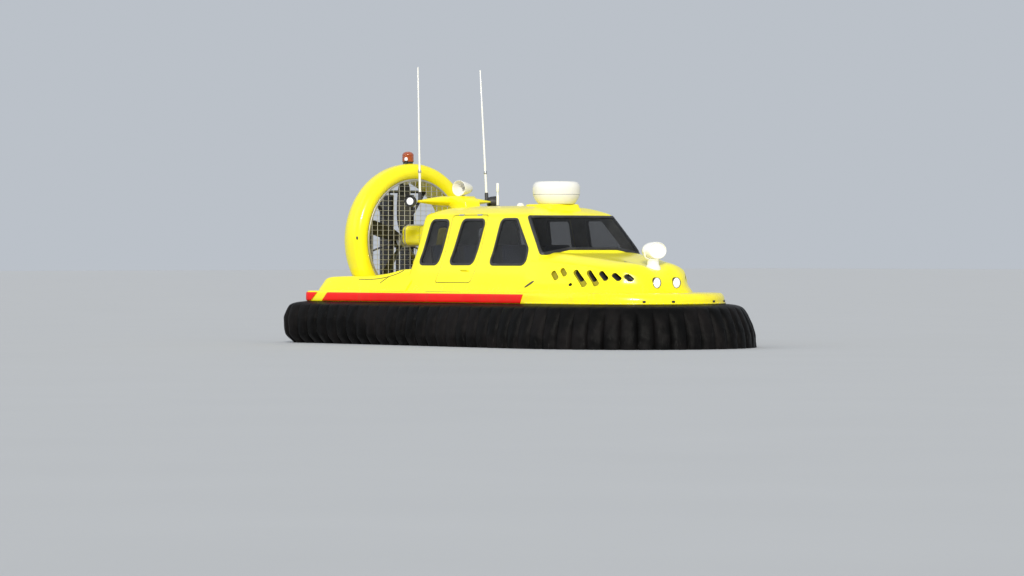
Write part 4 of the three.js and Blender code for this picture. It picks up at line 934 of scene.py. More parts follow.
def build_coamings():
    x = np.concatenate([-3.31 + 0.31 * np.linspace(0, 1, 26) ** 1.7, np.linspace(-3.0, -1.3, 44)[1:]])
    foot, top, top_z = steady(COAMING[:, 0], COAMING[:, 1:], x).T
    inner, low = WELL["half"] + 0 * x, DECK_TOP + 0.0004 + 0 * x
    tall, wide = top_z - low, top - inner
    section = [(inner, low), (foot + 0.035, low), (foot + 0.012, low + np.minimum(0.004, 0.1 * tall)),
               (foot - 0.004, low + np.minimum(0.035, 0.3 * tall)),
               (top + 0.01, top_z - np.minimum(0.05, 0.45 * tall)), (top - 0.2 * wide, top_z),
               (top - 0.5 * wide, top_z), (inner + 0.25 * wide, top_z),
               (inner + 0.05 * wide, top_z - np.minimum(0.004, 0.1 * tall)),
               (inner, top_z - np.minimum(0.03, 0.4 * tall))]
    section = np.array([np.stack(pair, 1) for pair in section])
    smooth = np.concatenate([section[:1], softened(section[1:], 3, closed=False)]).transpose(1, 0, 2)
    for name, side in SIDES:
        rings = np.concatenate([np.broadcast_to(x[:, None, None], (*smooth.shape[:2], 1)),
                                smooth * [side, 1]], -1)
        coaming = mesh_object(f"stern_coaming_{name}", *lofted(rings), YELLOW, 40)
        skin = ray_tree(rings)
        # The first path is a black tube painted in as the shadow under the rolled edge; the second is a
        # seam.
        for k, joint in enumerate(COAMING_SHADOW_AND_SEAM_LINES):
            path = []
            for px, pz in softened(joint, 3, closed=False):
                spot, *_ = skin.ray_cast(Vector((px, side * 2.0, pz)), Vector((0, -side, 0)))
                path.append(spot if spot else Vector((px, side * 1.0, pz)))
            piece(f"coaming_joint_{k}_{name}", tube(path, 0.0055, 8), SEAL)
        carve(coaming, lofted(cabin_rings(-0.0003, DECK_TOP - 0.05)), angle=40)
        carve(coaming, duct_barrel(DUCT_OUTER + 0.0003), angle=40)
        placed(coaming, "craft", "deck_moulding")


# Window and door outlines: [x, z] on the sides, [y, z] at the front and the rear.
SIDE_WINDOW_REAR = [(-1.285, 1.118), (-0.885, 1.118), (-0.837, 1.734), (-1.21, 1.734)]
DOOR_WINDOW = [(-0.635, 1.122), (-0.14, 1.122), (-0.075, 1.738), (-0.545, 1.738)]
SIDE_WINDOW_FRONT = [(0.222, 1.118), (0.962, 1.118), (0.935, 1.33), (0.59, 1.74), (0.27, 1.74)]
# The windscreen wraps round both corners, so its outline of [y, z] is wider than the cabin's front.
WINDSCREEN = [(-1.1, 1.27), (-0.83, 1.27), (-0.45, 1.335), (0.45, 1.335), (0.83, 1.27), (1.1, 1.27),
              (1.1, 1.776), (-1.1, 1.776)]
# Heights, and how far behind the raked front the windscreen's sides lie there.
WRAP = ((1.262, 1.776), (0.104, 0.115))
# Half the room between the corner pillars, inside the wall, at the same heights.
BETWEEN_PILLARS = ((1.262, 1.776), (0.862, 0.708))
REAR_WINDOW = [(0.56, 1.2), (0.28, 1.2), (0.25, 1.65), (0.48, 1.65)]
WINDOW_CORNER = 0.075
DOOR = dict(rear=-0.79, front=-0.04, bottom=0.868, top=1.8, hinge_y=0.754)


def front_at(z):
    """The raked front's station on the centreline."""
    (low, _, foot, *_), (high, _, head, *_) = CABIN[4], CABIN[5]
    return foot + (z - low) * (head - foot) / (high - low)


def side_cut(outline, side):
    return prism(outline, "y", *sorted((side * 0.3, side * 1.5)))


def wrap_at(z):
    """How far behind the raked front the windscreen's side lies."""
    return float(np.interp(z, *WRAP))


def windscreen_cut(gap=0.0):
    """The windscreen's opening, or its pane's outline when there is a gap round it."""
    wide = moved_in(WINDSCREEN, gap)
    room = np.interp(wide[:, 1], *BETWEEN_PILLARS) - gap
    narrow = np.column_stack([np.clip(wide[:, 0], -room, room), wide[:, 1]])
    behind = lambda z: gap - wrap_at(z)
    steps = ((narrow, lambda z: -0.17), (narrow, behind), (wide, behind), (wide, lambda z: 0.15))
    rings = [[(front_at(z) + away(z), y, z) for y, z in outline] for outline, away in steps]
    return lofted(np.array(rings))


def windscreen_edge():
    """The windscreen's edge on the skin, and the way in from each of its points."""
    hub = 0.3
    side_y = lambda z: on_skin([(front_at(z) - wrap_at(z), 0, z)], (0, -1, 0))[0][0][1]
    low, high = WINDSCREEN[0][1], WINDSCREEN[-1][1]
    heading = lambda z: math.atan2(side_y(z), front_at(z) - wrap_at(z) - hub)
    shares = np.linspace(-1, 1, 61)
    turns = shares * heading(low)
    sill = on_skin([(hub, 0, 1.3)] * len(turns), [(-math.cos(a), -math.sin(a), 0) for a in turns])
    sill = np.interp([spot[1] for spot, _ in sill], *zip(*WINDSCREEN[:6]))
    run = list(zip(turns, sill))
    run += [(heading(z), z) for z in np.linspace(low, high, 20)[1:-1]]
    run += [(share * heading(high), high) for share in shares[::-1]]
    run += [(-heading(z), z) for z in np.linspace(high, low, 20)[1:-1]]
    spots = on_skin([(hub, 0, z) for _, z in run], [(-math.cos(a), -math.sin(a), 0) for a, _ in run])
    edge = softened(spaced(np.array([spot for spot, _ in spots])), 1)
    inward = (hub, 0, 0) - edge * (1, 1, 0)
    return edge, inward / np.linalg.norm(inward, axis=1)[:, None]


def door_outline(inset):
    d = DOOR
    corners = [(d["rear"] + inset, d["bottom"] + inset), (d["front"] - inset, d["bottom"] + inset),
               (d["front"] - inset, d["top"] - inset), (d["rear"] + inset, d["top"] - inset)]
    return rounded(corners, 0.045)


def shell_body(outer, inner):
    """A wall between two lofts of the same rings, open at the bottom and closed there by a rim."""
    rows, columns = outer.shape[:2]
    points = np.concatenate([outer.reshape(-1, 3), inner.reshape(-1, 3)])
    size = rows * columns
    faces = grid_faces(rows, columns, closed_across=True)
    faces += [f[::-1] for f in grid_faces(rows, columns, closed_across=True, start=size)]
    faces.append(tuple(range(size - columns, size)))
    faces.append(tuple(range(2 * size - columns, 2 * size))[::-1])
    marks = [0] * (size - columns) + [1] * (size - columns) + [0, 1] + [0] * columns
    for c in range(columns):
        d = (c + 1) % columns
        faces.append((d, c, size + c, size + d))
    return points, faces, marks


CABIN_SKIN = cabin_rings(0.0)
*CABIN_WALL, WALL_MARKS = shell_body(CABIN_SKIN, cabin_rings(SHELL))
GLASS_LAYER = shell_body(cabin_rings(0.01), cabin_rings(0.016))[:2]
SKIN_TREE = ray_tree(CABIN_SKIN, closed_across=True)

SIDE_GLASS = [
    ("side_glass_rear", rounded(SIDE_WINDOW_REAR, WINDOW_CORNER), "craft", "side_window_rear"),
    ("door_glass", rounded(DOOR_WINDOW, WINDOW_CORNER), "door", "door_window"),
    ("side_glass_front", rounded(SIDE_WINDOW_FRONT, WINDOW_CORNER), "craft", "side_window_front"),
]


def pane(name, cut, body, node):
    made = mesh_object(name, *GLASS_LAYER, GLASS)
    carve(made, cut, "INTERSECT", angle=40)
    return placed(made, body, node)


def on_skin(points, direction):
    """Points thrown onto the cabin's skin along one direction, or each along its own, with normals."""
    found = []
    for p, way in zip(points, np.broadcast_to(direction, (len(points), 3))):
        way = Vector(way)
        spot, normal, *_ = SKIN_TREE.ray_cast(Vector(p) - way * 2.0, way)
        if spot is None:
            spot, normal, *_ = SKIN_TREE.find_nearest(Vector(p))
        if normal.dot(way) > 0:
            normal = -normal
        found.append((np.array(spot), np.array(normal)))
    return found


def gasket(name, outline, direction, body, width=0.038, proud=0.007, finish=SEAL):
    """A rubber seal round an opening, lying on the skin. The outline is of points in space."""
    spots = on_skin(outline, direction)
    centre = np.array([s for s, _ in spots])
    normals = np.array([n for _, n in spots])
    for _ in range(3):
        normals = normals + np.roll(normals, 1, 0) + np.roll(normals, -1, 0)
        normals /= np.linalg.norm(normals, axis=1)[:, None]
    along = np.roll(centre, -1, 0) - np.roll(centre, 1, 0)
    along /= np.linalg.norm(along, axis=1)[:, None]
    across = np.cross(along, normals)
    section = softened([(-width / 2, -0.02), (-width / 2, proud * 0.5), (-width / 4, proud),
                        (width / 4, proud), (width / 2, proud * 0.5), (width / 2, -0.02)], 1)
    aside, away = section[None, :, :1], section[None, :, 1:]
    rings = centre[:, None] + across[:, None] * aside + normals[:, None] * away
    faces = grid_faces(len(rings), len(section), closed_across=True, closed_along=True)
    made = mesh_object(name, rings.reshape(-1, 3), faces, finish, 50)
    return placed(made, body)


def spaced(outline, step=0.02):
    """Points evenly along a closed outline."""
    closed = np.concatenate([outline, outline[:1]])
    run = np.concatenate([[0], np.cumsum(np.linalg.norm(np.diff(closed, axis=0), axis=1))])
    at = np.linspace(0, run[-1], max(12, int(run[-1] / step)), endpoint=False)
    return np.stack([np.interp(at, run, closed[:, k]) for k in range(closed.shape[1])], 1)


HINGE = dict(radius=0.0125, length=0.1, starts=(-0.66, -0.27), z=1.8)


def hinge_places(side, back=0.0):
    return [(start + back, side * DOOR["hinge_y"], HINGE["z"]) for start in HINGE["starts"]]


def build_door_fittings(name, side):
    """Hinge barrels under the roof's edge, a grab handle, and the rubber in the door's gap."""
    door = f"door_{name}"
    barrels = joined(*[rod(HINGE["radius"], (1, 0, 0), place, HINGE["length"])
                       for place in hinge_places(side)])
    piece(f"door_hinges_{name}", barrels, ALLOY, body=door)
    spots = on_skin([(x, side * 0.9, 1.035) for x in (-0.33, -0.318, -0.3, -0.2, -0.182, -0.17)],
                    (0, -side, 0))
    proud = (-0.01, 0.014, 0.026, 0.026, 0.014, -0.01)
    path = [spot + normal * away for (spot, normal), away in zip(spots, proud)]
    piece(f"door_handle_{name}", tube(softened(path, 2, closed=False), 0.009, 12), YELLOW, body=door)
    gap = [(x, side * 0.9, z) for x, z in spaced(door_outline(0.0))]
    gasket(f"door_gap_rubber_{name}", gap, (0, -side, 0), "craft", 0.007, -0.005)


def build_cabin():
    shell = mesh_object("cabin_moulding", *CABIN_WALL, (YELLOW, LINING, SEAL), marks=WALL_MARKS)
    cuts = [windscreen_cut()]
    for _, side in SIDES:
        rear = rounded([(side * y, z) for y, z in REAR_WINDOW], WINDOW_CORNER)
        cuts += [side_cut(SIDE_GLASS[0][1], side), side_cut(SIDE_GLASS[2][1], side),
                 prism(rear, "x", -1.6, -1.3)]
    cuts = joined(*cuts)
    carve(shell, cuts, marks=[2] * len(cuts[1]))
    carve(shell, joined(*[side_cut(door_outline(-0.004), side) for _, side in SIDES]))
    free = 0.0015
    places = [place for _, side in SIDES for place in hinge_places(side, -free)]
    rooms = [rod(HINGE["radius"] + free, (1, 0, 0), place, HINGE["length"] + 2 * free) for place in places]
    carve(shell, joined(*rooms))
    placed(shell, "craft", "cabin_shell")

    pane("windscreen_glass", windscreen_cut(0.0007), "craft", "windscreen")
    gasket("windscreen_seal", *windscreen_edge(), "craft", 0.046)
    for name, side in SIDES:
        for glass, outline, body, node in SIDE_GLASS:
            carrier = f"door_{name}" if body == "door" else body
            pane(f"{glass}_{name}", side_cut(moved_in(outline, 0.0005), side), carrier, f"{node}_{name}")
            gasket(f"{glass}_seal_{name}", [(x, side * 0.9, z) for x, z in spaced(outline)],
                   (0, -side, 0), carrier)
        rear = rounded([(side * y, z) for y, z in REAR_WINDOW], WINDOW_CORNER)
        pane(f"rear_glass_{name}", prism(moved_in(rear, 0.0005), "x", -1.6, -1.3), "craft",
             f"rear_window_{name}")
        gasket(f"rear_glass_seal_{name}", [(-1.5, y, z) for y, z in spaced(rear)], (1, 0, 0), "craft")
        door = mesh_object(f"door_panel_{name}", *CABIN_WALL, (YELLOW, LINING, SEAL), marks=WALL_MARKS)
        carve(door, side_cut(door_outline(0.004), side), "INTERSECT")
        opening = side_cut(SIDE_GLASS[1][1], side)
        carve(door, opening, marks=[2] * len(opening[1]))
        placed(door, f"door_{name}", f"door_{name}")
        build_door_fittings(name, side)


# Duct and what turns in it

AHEAD, BACK, UP = (1, 0, 0), (-1, 0, 0), (0, 0, 1)


def about_duct(points, angle):
    """Points turned about the thrust line and carried to it."""
    x, y, z = np.moveaxis(np.asarray(points, dtype=float), -1, 0)
    c, s = math.cos(angle), math.sin(angle)
    return np.stack([x, y * c - z * s, DUCT["z"] + y * s + z * c], -1)


def ring_rows(x, radius, count, facing, head):
    """Rows for fittings round the thrust line, facing along it, or outward."""
    rows = []
    for angle in np.arange(count) * 2 * math.pi / count:
        y, z = math.cos(angle), math.sin(angle)
        rows.append((x, radius * y, DUCT["z"] + radius * z, *(facing or (0, y, z)), *head))
    return rows


def build_duct():
    turn = np.linspace(0, math.pi, 29)
    lip = [(DUCT["mid"] + DUCT["lip"] * math.cos(t), DUCT["lip"] * math.sin(t)) for t in turn]
    rear = [(BORE, -0.05), (BORE, -0.35), (BORE + 0.003, -0.396), (BORE + 0.012, -0.4), (BORE + 0.05, -0.4),
            (BORE + 0.062, -0.396), (BORE + 0.11, -0.35), (BORE + 0.155, -0.29), (BORE + 0.198, -0.22),
            (DUCT_OUTER - 0.012, -0.15), (DUCT_OUTER - 0.002, -0.07)]
    middle = (DUCT["x"], 0, DUCT["z"])
    piece("duct_ring", turned(lip + rear, AHEAD, middle, 160, closed=True), YELLOW, "thrust_duct", angle=50)
    for name, end in (("upper", 1), ("lower", -1)):
        level = DUCT["z"] + end * 0.7
        outline = [(-3.165, -0.43), (-2.98, -0.53), (-2.98, 0.53), (-3.165, 0.43)]
        piece(f"rudder_beam_{name}", prism(outline, "z", level - 0.02, level + 0.02), TRIM,
              "thrust_duct", ease=0.008)
    repeated("duct_flange_bolts", ring_rows(-2.999, BORE + 0.031, 40, BACK, (0.009, 0.009, 0.007)), STEEL)
    repeated("duct_rivets", ring_rows(-2.655, DUCT_OUTER - 0.004, 72, None, (0.006, 0.006, 0.0035)),
             YELLOW, sides=8)
    for name, side in SIDES:
        profile = [(0, -0.012), (0.015, -0.012), (0.015, 0.002), (0.011, 0.005), (0, 0.005)]
        button, faces = turned(profile, (0.577, side * 0.817, 0), (0, 0, 0), 24)
        plug = button * (1, 1, 1.7) + (-2.532, side * 1.074, 1.488)
        piece(f"duct_drain_plug_{name}", (plug, faces), SEAL)


def build_beacon():
    at = (DUCT["x"] - 0.1, 0, DUCT["z"] + DUCT_OUTER - 0.014)
    roof = duct_barrel(DUCT_OUTER + 0.0003)
    base = [(0, 0), (0.07, 0), (0.072, 0.006), (0.072, 0.036), (0.084, 0.041), (0.084, 0.046), (0, 0.046)]
    piece("beacon_base", turned(base, UP, at, 40), TRIM, less=roof)
    rise = np.linspace(0.052, 0.14, 44)
    ribs = [(0.0838 + 0.0018 * math.cos(z * 2 * math.pi / 0.0098), z) for z in rise]
    dome = [(0.083, 0.145), (0.077, 0.159), (0.063, 0.173), (0.042, 0.184), (0.018, 0.1895), (0, 0.19)]
    piece("beacon_lens", turned([(0, 0.0465), (0.082, 0.0465), *ribs, *dome], UP, at, 48), AMBER,
          "duct_beacon", angle=60)
    at = (DUCT["x"], -0.118, at[2])
    stem = [(0, 0), (0.012, 0), (0.012, 0.045), (0.022, 0.049), (0.022, 0.058), (0, 0.058)]
    piece("stern_light_stem", turned(stem, UP, at, 24), TRIM, less=roof)
    shade = [(0, 0.0585), (0.021, 0.0585), (0.023, 0.066), (0.023, 0.086), (0.018, 0.098),
             (0.008, 0.104), (0, 0.104)]
    piece("stern_light_lens", turned(shade, UP, at, 24), WHITE_LENS)


NACELLE = dict(rear=-2.64, front=-1.442, half=0.19, low=1.385, high=1.668, corner=0.07)


def nacelle_ring(x, shrink):
    n = NACELLE
    half, low, high = n["half"] - shrink, n["low"] + shrink, n["high"] - shrink
    outline = rounded([(-half, low), (half, low), (half, high), (-half, high)],
                      n["corner"] - shrink * 0.3, 7)
    return np.column_stack([np.full(len(outline), x), outline])


def nacelle_rings(grow=0.0):
    # Columns: distance from the rear, how much the section has shrunk there.
    table = ((0, 0.062), (0.002, 0.048), (0.008, 0.033), (0.018, 0.02), (0.032, 0.01), (0.05, 0.003),
             (0.072, 0), (1.198, 0))
    return np.array([nacelle_ring(NACELLE["rear"] + x - grow, shrink - grow) for x, shrink in table])


GUARD = dict(x=-2.53, radius=0.8772, wide=0.03, half=0.206, low=1.369, high=1.684, upright_pitch=0.1,
             level_pitch=0.07)


def build_guard():
    g, axis = GUARD, DUCT["z"]
    inner = g["radius"] - g["wide"]
    section = softened([(inner, -0.008), (g["radius"], -0.008), (g["radius"], 0.008), (inner, 0.008)], 2)
    ring = turned(section, AHEAD, (g["x"], 0, axis), 120, closed=True)
    piece("guard_ring", ring, GUARD_METAL, "propeller_guard")
    hoop = rounded([(-g["half"], g["low"]), (g["half"], g["low"]), (g["half"], g["high"]),
                    (-g["half"], g["high"])], 0.084)
    piece("guard_hoop", prism(hoop, "x", g["x"] - 0.008, g["x"] + 0.008), GUARD_METAL, ease=0.002,
          less=lofted(nacelle_rings(0.0003)))
    rows = []
    reach = inner + 0.008
    for offset in np.arange(-8, 9) * g["upright_pitch"]:
        end = math.sqrt(reach**2 - offset**2)
        spans = ((-end, end),)
        # The wires stop at the hoop round the nacelle.
        if abs(offset) < g["half"]:
            spans = ((-end, g["low"] - axis), (g["high"] - axis, end))
        for start, stop in spans:
            rows.append((g["x"] - 0.0042, offset, axis + start, *UP, 0.0044, 0.0044, stop - start))
    for offset in np.arange(-12, 13) * g["level_pitch"]:
        end = math.sqrt(max(reach**2 - offset**2, 1e-4))
        spans = ((-end, end),)
        if g["low"] < axis + offset < g["high"]:
            spans = ((-end, -g["half"]), (g["half"], end))
        for start, stop in spans:
            rows.append((g["x"] + 0.0032, start, axis + offset, 0, 1, 0, 0.003, 0.003, stop - start))
    repeated("guard_wires", rows, GUARD_METAL, sides=6, taper=1.0)
    repeated("guard_clips", ring_rows(g["x"] + 0.0075, g["radius"] - 0.013, 16, AHEAD,
                                      (0.008, 0.008, 0.006)), STEEL)


COVER = dict(rear=-2.29, front=-1.562, half=0.26, floor=0.6123, top=1.3847, wall=0.03)


def build_engine():
    nacelle = mesh_object("nacelle_fairing", *lofted(nacelle_rings()), YELLOW, 40)
    carve(nacelle, lofted(cabin_rings(-0.0003, DECK_TOP)), angle=40)
    carve(nacelle, rod(0.034, AHEAD, (NACELLE["rear"] - 0.01, 0, DUCT["z"]), 0.18), angle=40)
    placed(nacelle, "craft", "nacelle")
    collar = [(0.0335, -0.004), (0.06, -0.004), (0.063, 0), (0.063, 0.008), (0.0335, 0.008)]
    piece("shaft_collar", turned(collar, AHEAD, (NACELLE["rear"] - 0.002, 0, DUCT["z"]), 40,
                                 closed=True), ALLOY)
    for k, x in enumerate((-2.22, -1.72)):
        piece(f"nacelle_joint_{k}", tube(nacelle_ring(x, 0.0012), 0.0035, 8, closed=True, up=AHEAD), SEAL)
    rows = [(x, side * 0.1895, z, 0, side, 0, 0.006, 0.006, 0.0035)
            for x in (-2.245, -2.195, -1.745, -1.695) for z in (1.47, 1.53, 1.59) for _, side in SIDES]
    repeated("nacelle_screws", rows, STEEL)

    c = COVER
    outline = [(c["rear"], c["floor"]), (c["rear"], 1.15), (c["rear"] + 0.18, c["top"]),
               (c["front"], c["top"]), (c["front"], c["floor"])]
    hollow = [(c["rear"] + c["wall"], 0.55), (c["rear"] + c["wall"], 1.14),
              (c["rear"] + 0.19, c["top"] - c["wall"]), (c["front"] - c["wall"], c["top"] - c["wall"]),
              (c["front"] - c["wall"], 0.55)]
    recess = rounded([(-2.1, 0.82), (-1.72, 0.82), (-1.72, 1.1), (-2.1, 1.1)], 0.03)
    pockets = [prism(recess, "y", *sorted((side * (c["half"] - 0.012), side * (c["half"] + 0.05))))
               for _, side in SIDES]
    inside = prism(hollow, "y", c["wall"] - c["half"], c["half"] - c["wall"])
    cover = mesh_object("engine_cover_moulding", *prism(outline, "y", -c["half"], c["half"]),
                        (YELLOW, TRIM), 40)
    edge = cover.modifiers.new("eased edges", "BEVEL")
    edge.width, edge.segments = 0.02, 4
    carve(cover, joined(inside, *pockets), angle=40,
          marks=[1] * (len(inside[1]) + sum(len(p[1]) for p in pockets)))
    placed(cover, "craft", "engine_cover")
    for name, side in SIDES:
        out, back = side * (c["half"] + 0.004), side * (c["half"] - 0.011)
        levels = np.arange(0.85, 1.1, 0.028)
        slats = [[(back, z), (out, z - 0.016), (out, z - 0.012), (back, z + 0.004)] for z in levels]
        slats = [prism(slat, "x", -2.095, -1.725) for slat in slats]
        piece(f"engine_vent_{name}", joined(*slats), TRIM)
    catches = [(x, side * c["half"], 0.7, 0, side, 0, 0.012, 0.022, 0.01) for x in (-2.2, -1.65)
               for _, side in SIDES]
    repeated("engine_cover_catches", catches, STEEL, sides=4, taper=0.7)


# Columns: radius, chord, blade angle in degrees, thickness.
BLADE_SHAPE = np.array([
    (0.06, 0.1, 54, 0.052), (0.13, 0.128, 49, 0.042), (0.22, 0.18, 42, 0.03), (0.34, 0.206, 35, 0.024),
    (0.48, 0.21, 30, 0.02), (0.62, 0.198, 26, 0.016), (0.72, 0.18, 23, 0.013), (0.8, 0.148, 21, 0.01),
    (0.832, 0.11, 20.4, 0.008), (0.843, 0.072, 20.1, 0.006), (0.846, 0.03, 20, 0.004),
])
# A blade's section, as shares of its chord and its thickness.
BLADE_SECTION = softened([(-0.5, 0), (-0.42, 0.3), (-0.25, 0.52), (0, 0.52), (0.25, 0.34), (0.5, 0.02),
                          (0.5, -0.06), (0.2, -0.2), (-0.1, -0.34), (-0.35, -0.32), (-0.5, -0.12)], 1)
PROPELLER_X = -2.79
BLADES, TIP_RINGS = 5, 11


def build_propeller():
    shape = steady(np.arange(len(BLADE_SHAPE)), BLADE_SHAPE, np.linspace(0, len(BLADE_SHAPE) - 1, 34))
    blade = []
    for radius, chord, lean, thickness in shape:
        turn = math.radians(lean)
        across, along = BLADE_SECTION[:, 0] * chord, BLADE_SECTION[:, 1] * thickness
        blade.append(np.stack([PROPELLER_X + across * math.sin(turn) + along * math.cos(turn),
                               across * math.cos(turn) - along * math.sin(turn),
                               np.full(len(across), radius)], 1))
    points, faces = lofted(blade)
    share = 2 * math.pi / BLADES
    blades = joined(*[(about_duct(points, i * share), faces) for i in range(BLADES)])
    piece("propeller_blades", blades, BLADE, "propeller", body="propeller", angle=60)
    tips, faces = lofted(blade[-TIP_RINGS:])
    tips = (tips - (PROPELLER_X, 0, 0)) * (1.12, 1.01, 1.0003) + (PROPELLER_X, 0, 0)
    bands = joined(*[(about_duct(tips, i * share), faces) for i in range(BLADES)])
    piece("propeller_tip_bands", bands, WHITE, body="propeller", angle=60)
    at = (PROPELLER_X, 0, DUCT["z"])
    hub = [(0, -0.08), (0.03, -0.0795), (0.06, -0.076), (0.088, -0.064), (0.101, -0.05), (0.105, -0.036),
           (0.105, 0.056), (0.101, 0.062), (0.034, 0.066), (0.03, 0.07), (0.03, 0.2), (0, 0.2)]
    piece("propeller_hub", turned(hub, AHEAD, at, 60), ALLOY, body="propeller")
    bolts = ring_rows(PROPELLER_X + 0.061, 0.078, 10, AHEAD, (0.01, 0.01, 0.01))
    bolts += ring_rows(PROPELLER_X - 0.07, 0.052, 5, BACK, (0.008, 0.008, 0.014))
    repeated("propeller_hub_bolts", bolts, STEEL, body="propeller")


VANES, VANE_REACH = 5, (0.07, 0.8597)


def build_stators():
    rear, middle = -2.98, (-2.98, 0, DUCT["z"])
    hub = [(0, 0), (0.096, 0), (0.106, 0.004), (0.11, 0.014), (0.11, 0.076), (0.106, 0.086),
           (0.096, 0.09), (0, 0.09)]
    foil = softened([(rear + 0.005, -0.003), (rear + 0.005, 0.003), (rear + 0.04, 0.009),
                     (rear + 0.07, 0.0095), (rear + 0.08, 0.004), (rear + 0.08, -0.004),
                     (rear + 0.07, -0.0095), (rear + 0.04, -0.009)], 1)
    vanes = []
    for i in range(VANES):
        turn = (i + 0.5) * 2 * math.pi / VANES
        rings = [about_duct(np.column_stack([foil, np.full(len(foil), r)]), turn) for r in VANE_REACH]
        vanes.append(lofted(rings))
    piece("stator_vanes", joined(*vanes), TRIM, "stators")
    piece("stator_hub", turned(hub, AHEAD, middle, 60), TRIM)
    cap = [(0, -0.014), (0.03, -0.012), (0.052, -0.004), (0.055, 0.002), (0, 0.002)]
    piece("stator_hub_cap", turned(cap, AHEAD, middle, 40), ALLOY)
    repeated("stator_hub_bolts", ring_rows(rear + 0.001, 0.082, 8, BACK, (0.008, 0.008, 0.007)), STEEL)


RUDDER = dict(pivot=-3.12, nose=-3.03, chord=0.31, spacing=0.38, reach=0.655, thick=0.142)
# A rudder's rounded end: distance from the end, how much thinner it is there.
RUDDER_END = ((0.02, 0), (0.008, 0.06), (0.002, 0.25), (0, 0.5))


def foil_outline(shrink=0.0, count=26):
    """The rudder's section, as [station, half thickness] from its nose to its tail and back."""
    r = RUDDER
    s = (1 - np.cos(np.linspace(0, math.pi, count))) / 2
    half = 5 * r["thick"] * (0.2969 * np.sqrt(s) - 0.126 * s - 0.3516 * s**2 + 0.2843 * s**3
                             - 0.1015 * s**4) * r["chord"]
    half = np.maximum(half, 0.0018 * (s > 0.5)) * (1 - shrink)
    x = r["nose"] - s * r["chord"]
    return np.concatenate([np.stack([x, half], 1), np.stack([x, -half], 1)[1:-1][::-1]])


def build_rudders():
    r = RUDDER
    for k, name in enumerate(("starboard", "centre", "port")):
        y, body = (k - 1) * r["spacing"], f"rudder_{name}"
        rings = []
        levels = [(end * (r["reach"] - inset), shrink) for end in (-1, 1)
                  for inset, shrink in RUDDER_END[::end]]
        for z, shrink in levels:
            outline = foil_outline(shrink)
            rings.append(np.column_stack([outline[:, 0], y + outline[:, 1],
                                          np.full(len(outline), DUCT["z"] + z)]))
        piece(f"rudder_blade_{name}", lofted(rings), TRIM, body, body=body)
        pins = [rod(0.0118, UP, (r["pivot"], y, DUCT["z"] + start), 0.09) for start in (-0.715, 0.625)]
        piece(f"rudder_pins_{name}", joined(*pins), ALLOY, body=body)
        seams = ((r["pivot"], 0.0216), (r["nose"] - 0.27, 0.005))
        rows = [(x, y + side * half, DUCT["z"] + z, 0, side, 0, 0.0045, 0.0045, 0.0022)
                for x, half in seams for z in np.linspace(-0.62, 0.62, 21) for side in (1, -1)]
        repeated(f"rudder_rivets_{name}", rows, STEEL, body=body, sides=6)
        rear, front = r["pivot"] - 0.02, r["pivot"] + 0.02
        lever = rounded([(rear, y - 0.09), (front, y - 0.09), (front, y + 0.02), (rear, y + 0.02)], 0.016)
        piece(f"rudder_lever_{name}", prism(lever, "z", DUCT["z"] - 0.676, DUCT["z"] - 0.668),
              ALLOY, body=body)


# Roof fittings

CABIN_OUTSIDE = lofted(cabin_rings(-0.0003, DECK_TOP))
WING = dict(x=-1.68, z=2.004, half=0.664)
# Columns: distance from the middle, rear end, front end, underside, top.
WING_STATIONS = np.array([
    (0.0, -1.78, -1.57, 1.94, 2.08), (0.21, -1.78, -1.57, 1.941, 2.079), (0.3, -1.776, -1.578, 1.947, 2.07),
    (0.6, -1.755, -1.612, 1.98, 2.028), (0.64, -1.751, -1.618, 1.984, 2.023),
    (0.655, -1.742, -1.63, 1.99, 2.018), (0.664, -1.722, -1.65, 1.998, 2.01),
])


# The crossbar's lamps: how far beside the wing they stand, and their facing, ahead and aside.
LAMP_BESIDE, LAMP_AHEAD, LAMP_ASIDE = 0.065, 0.5, 0.866


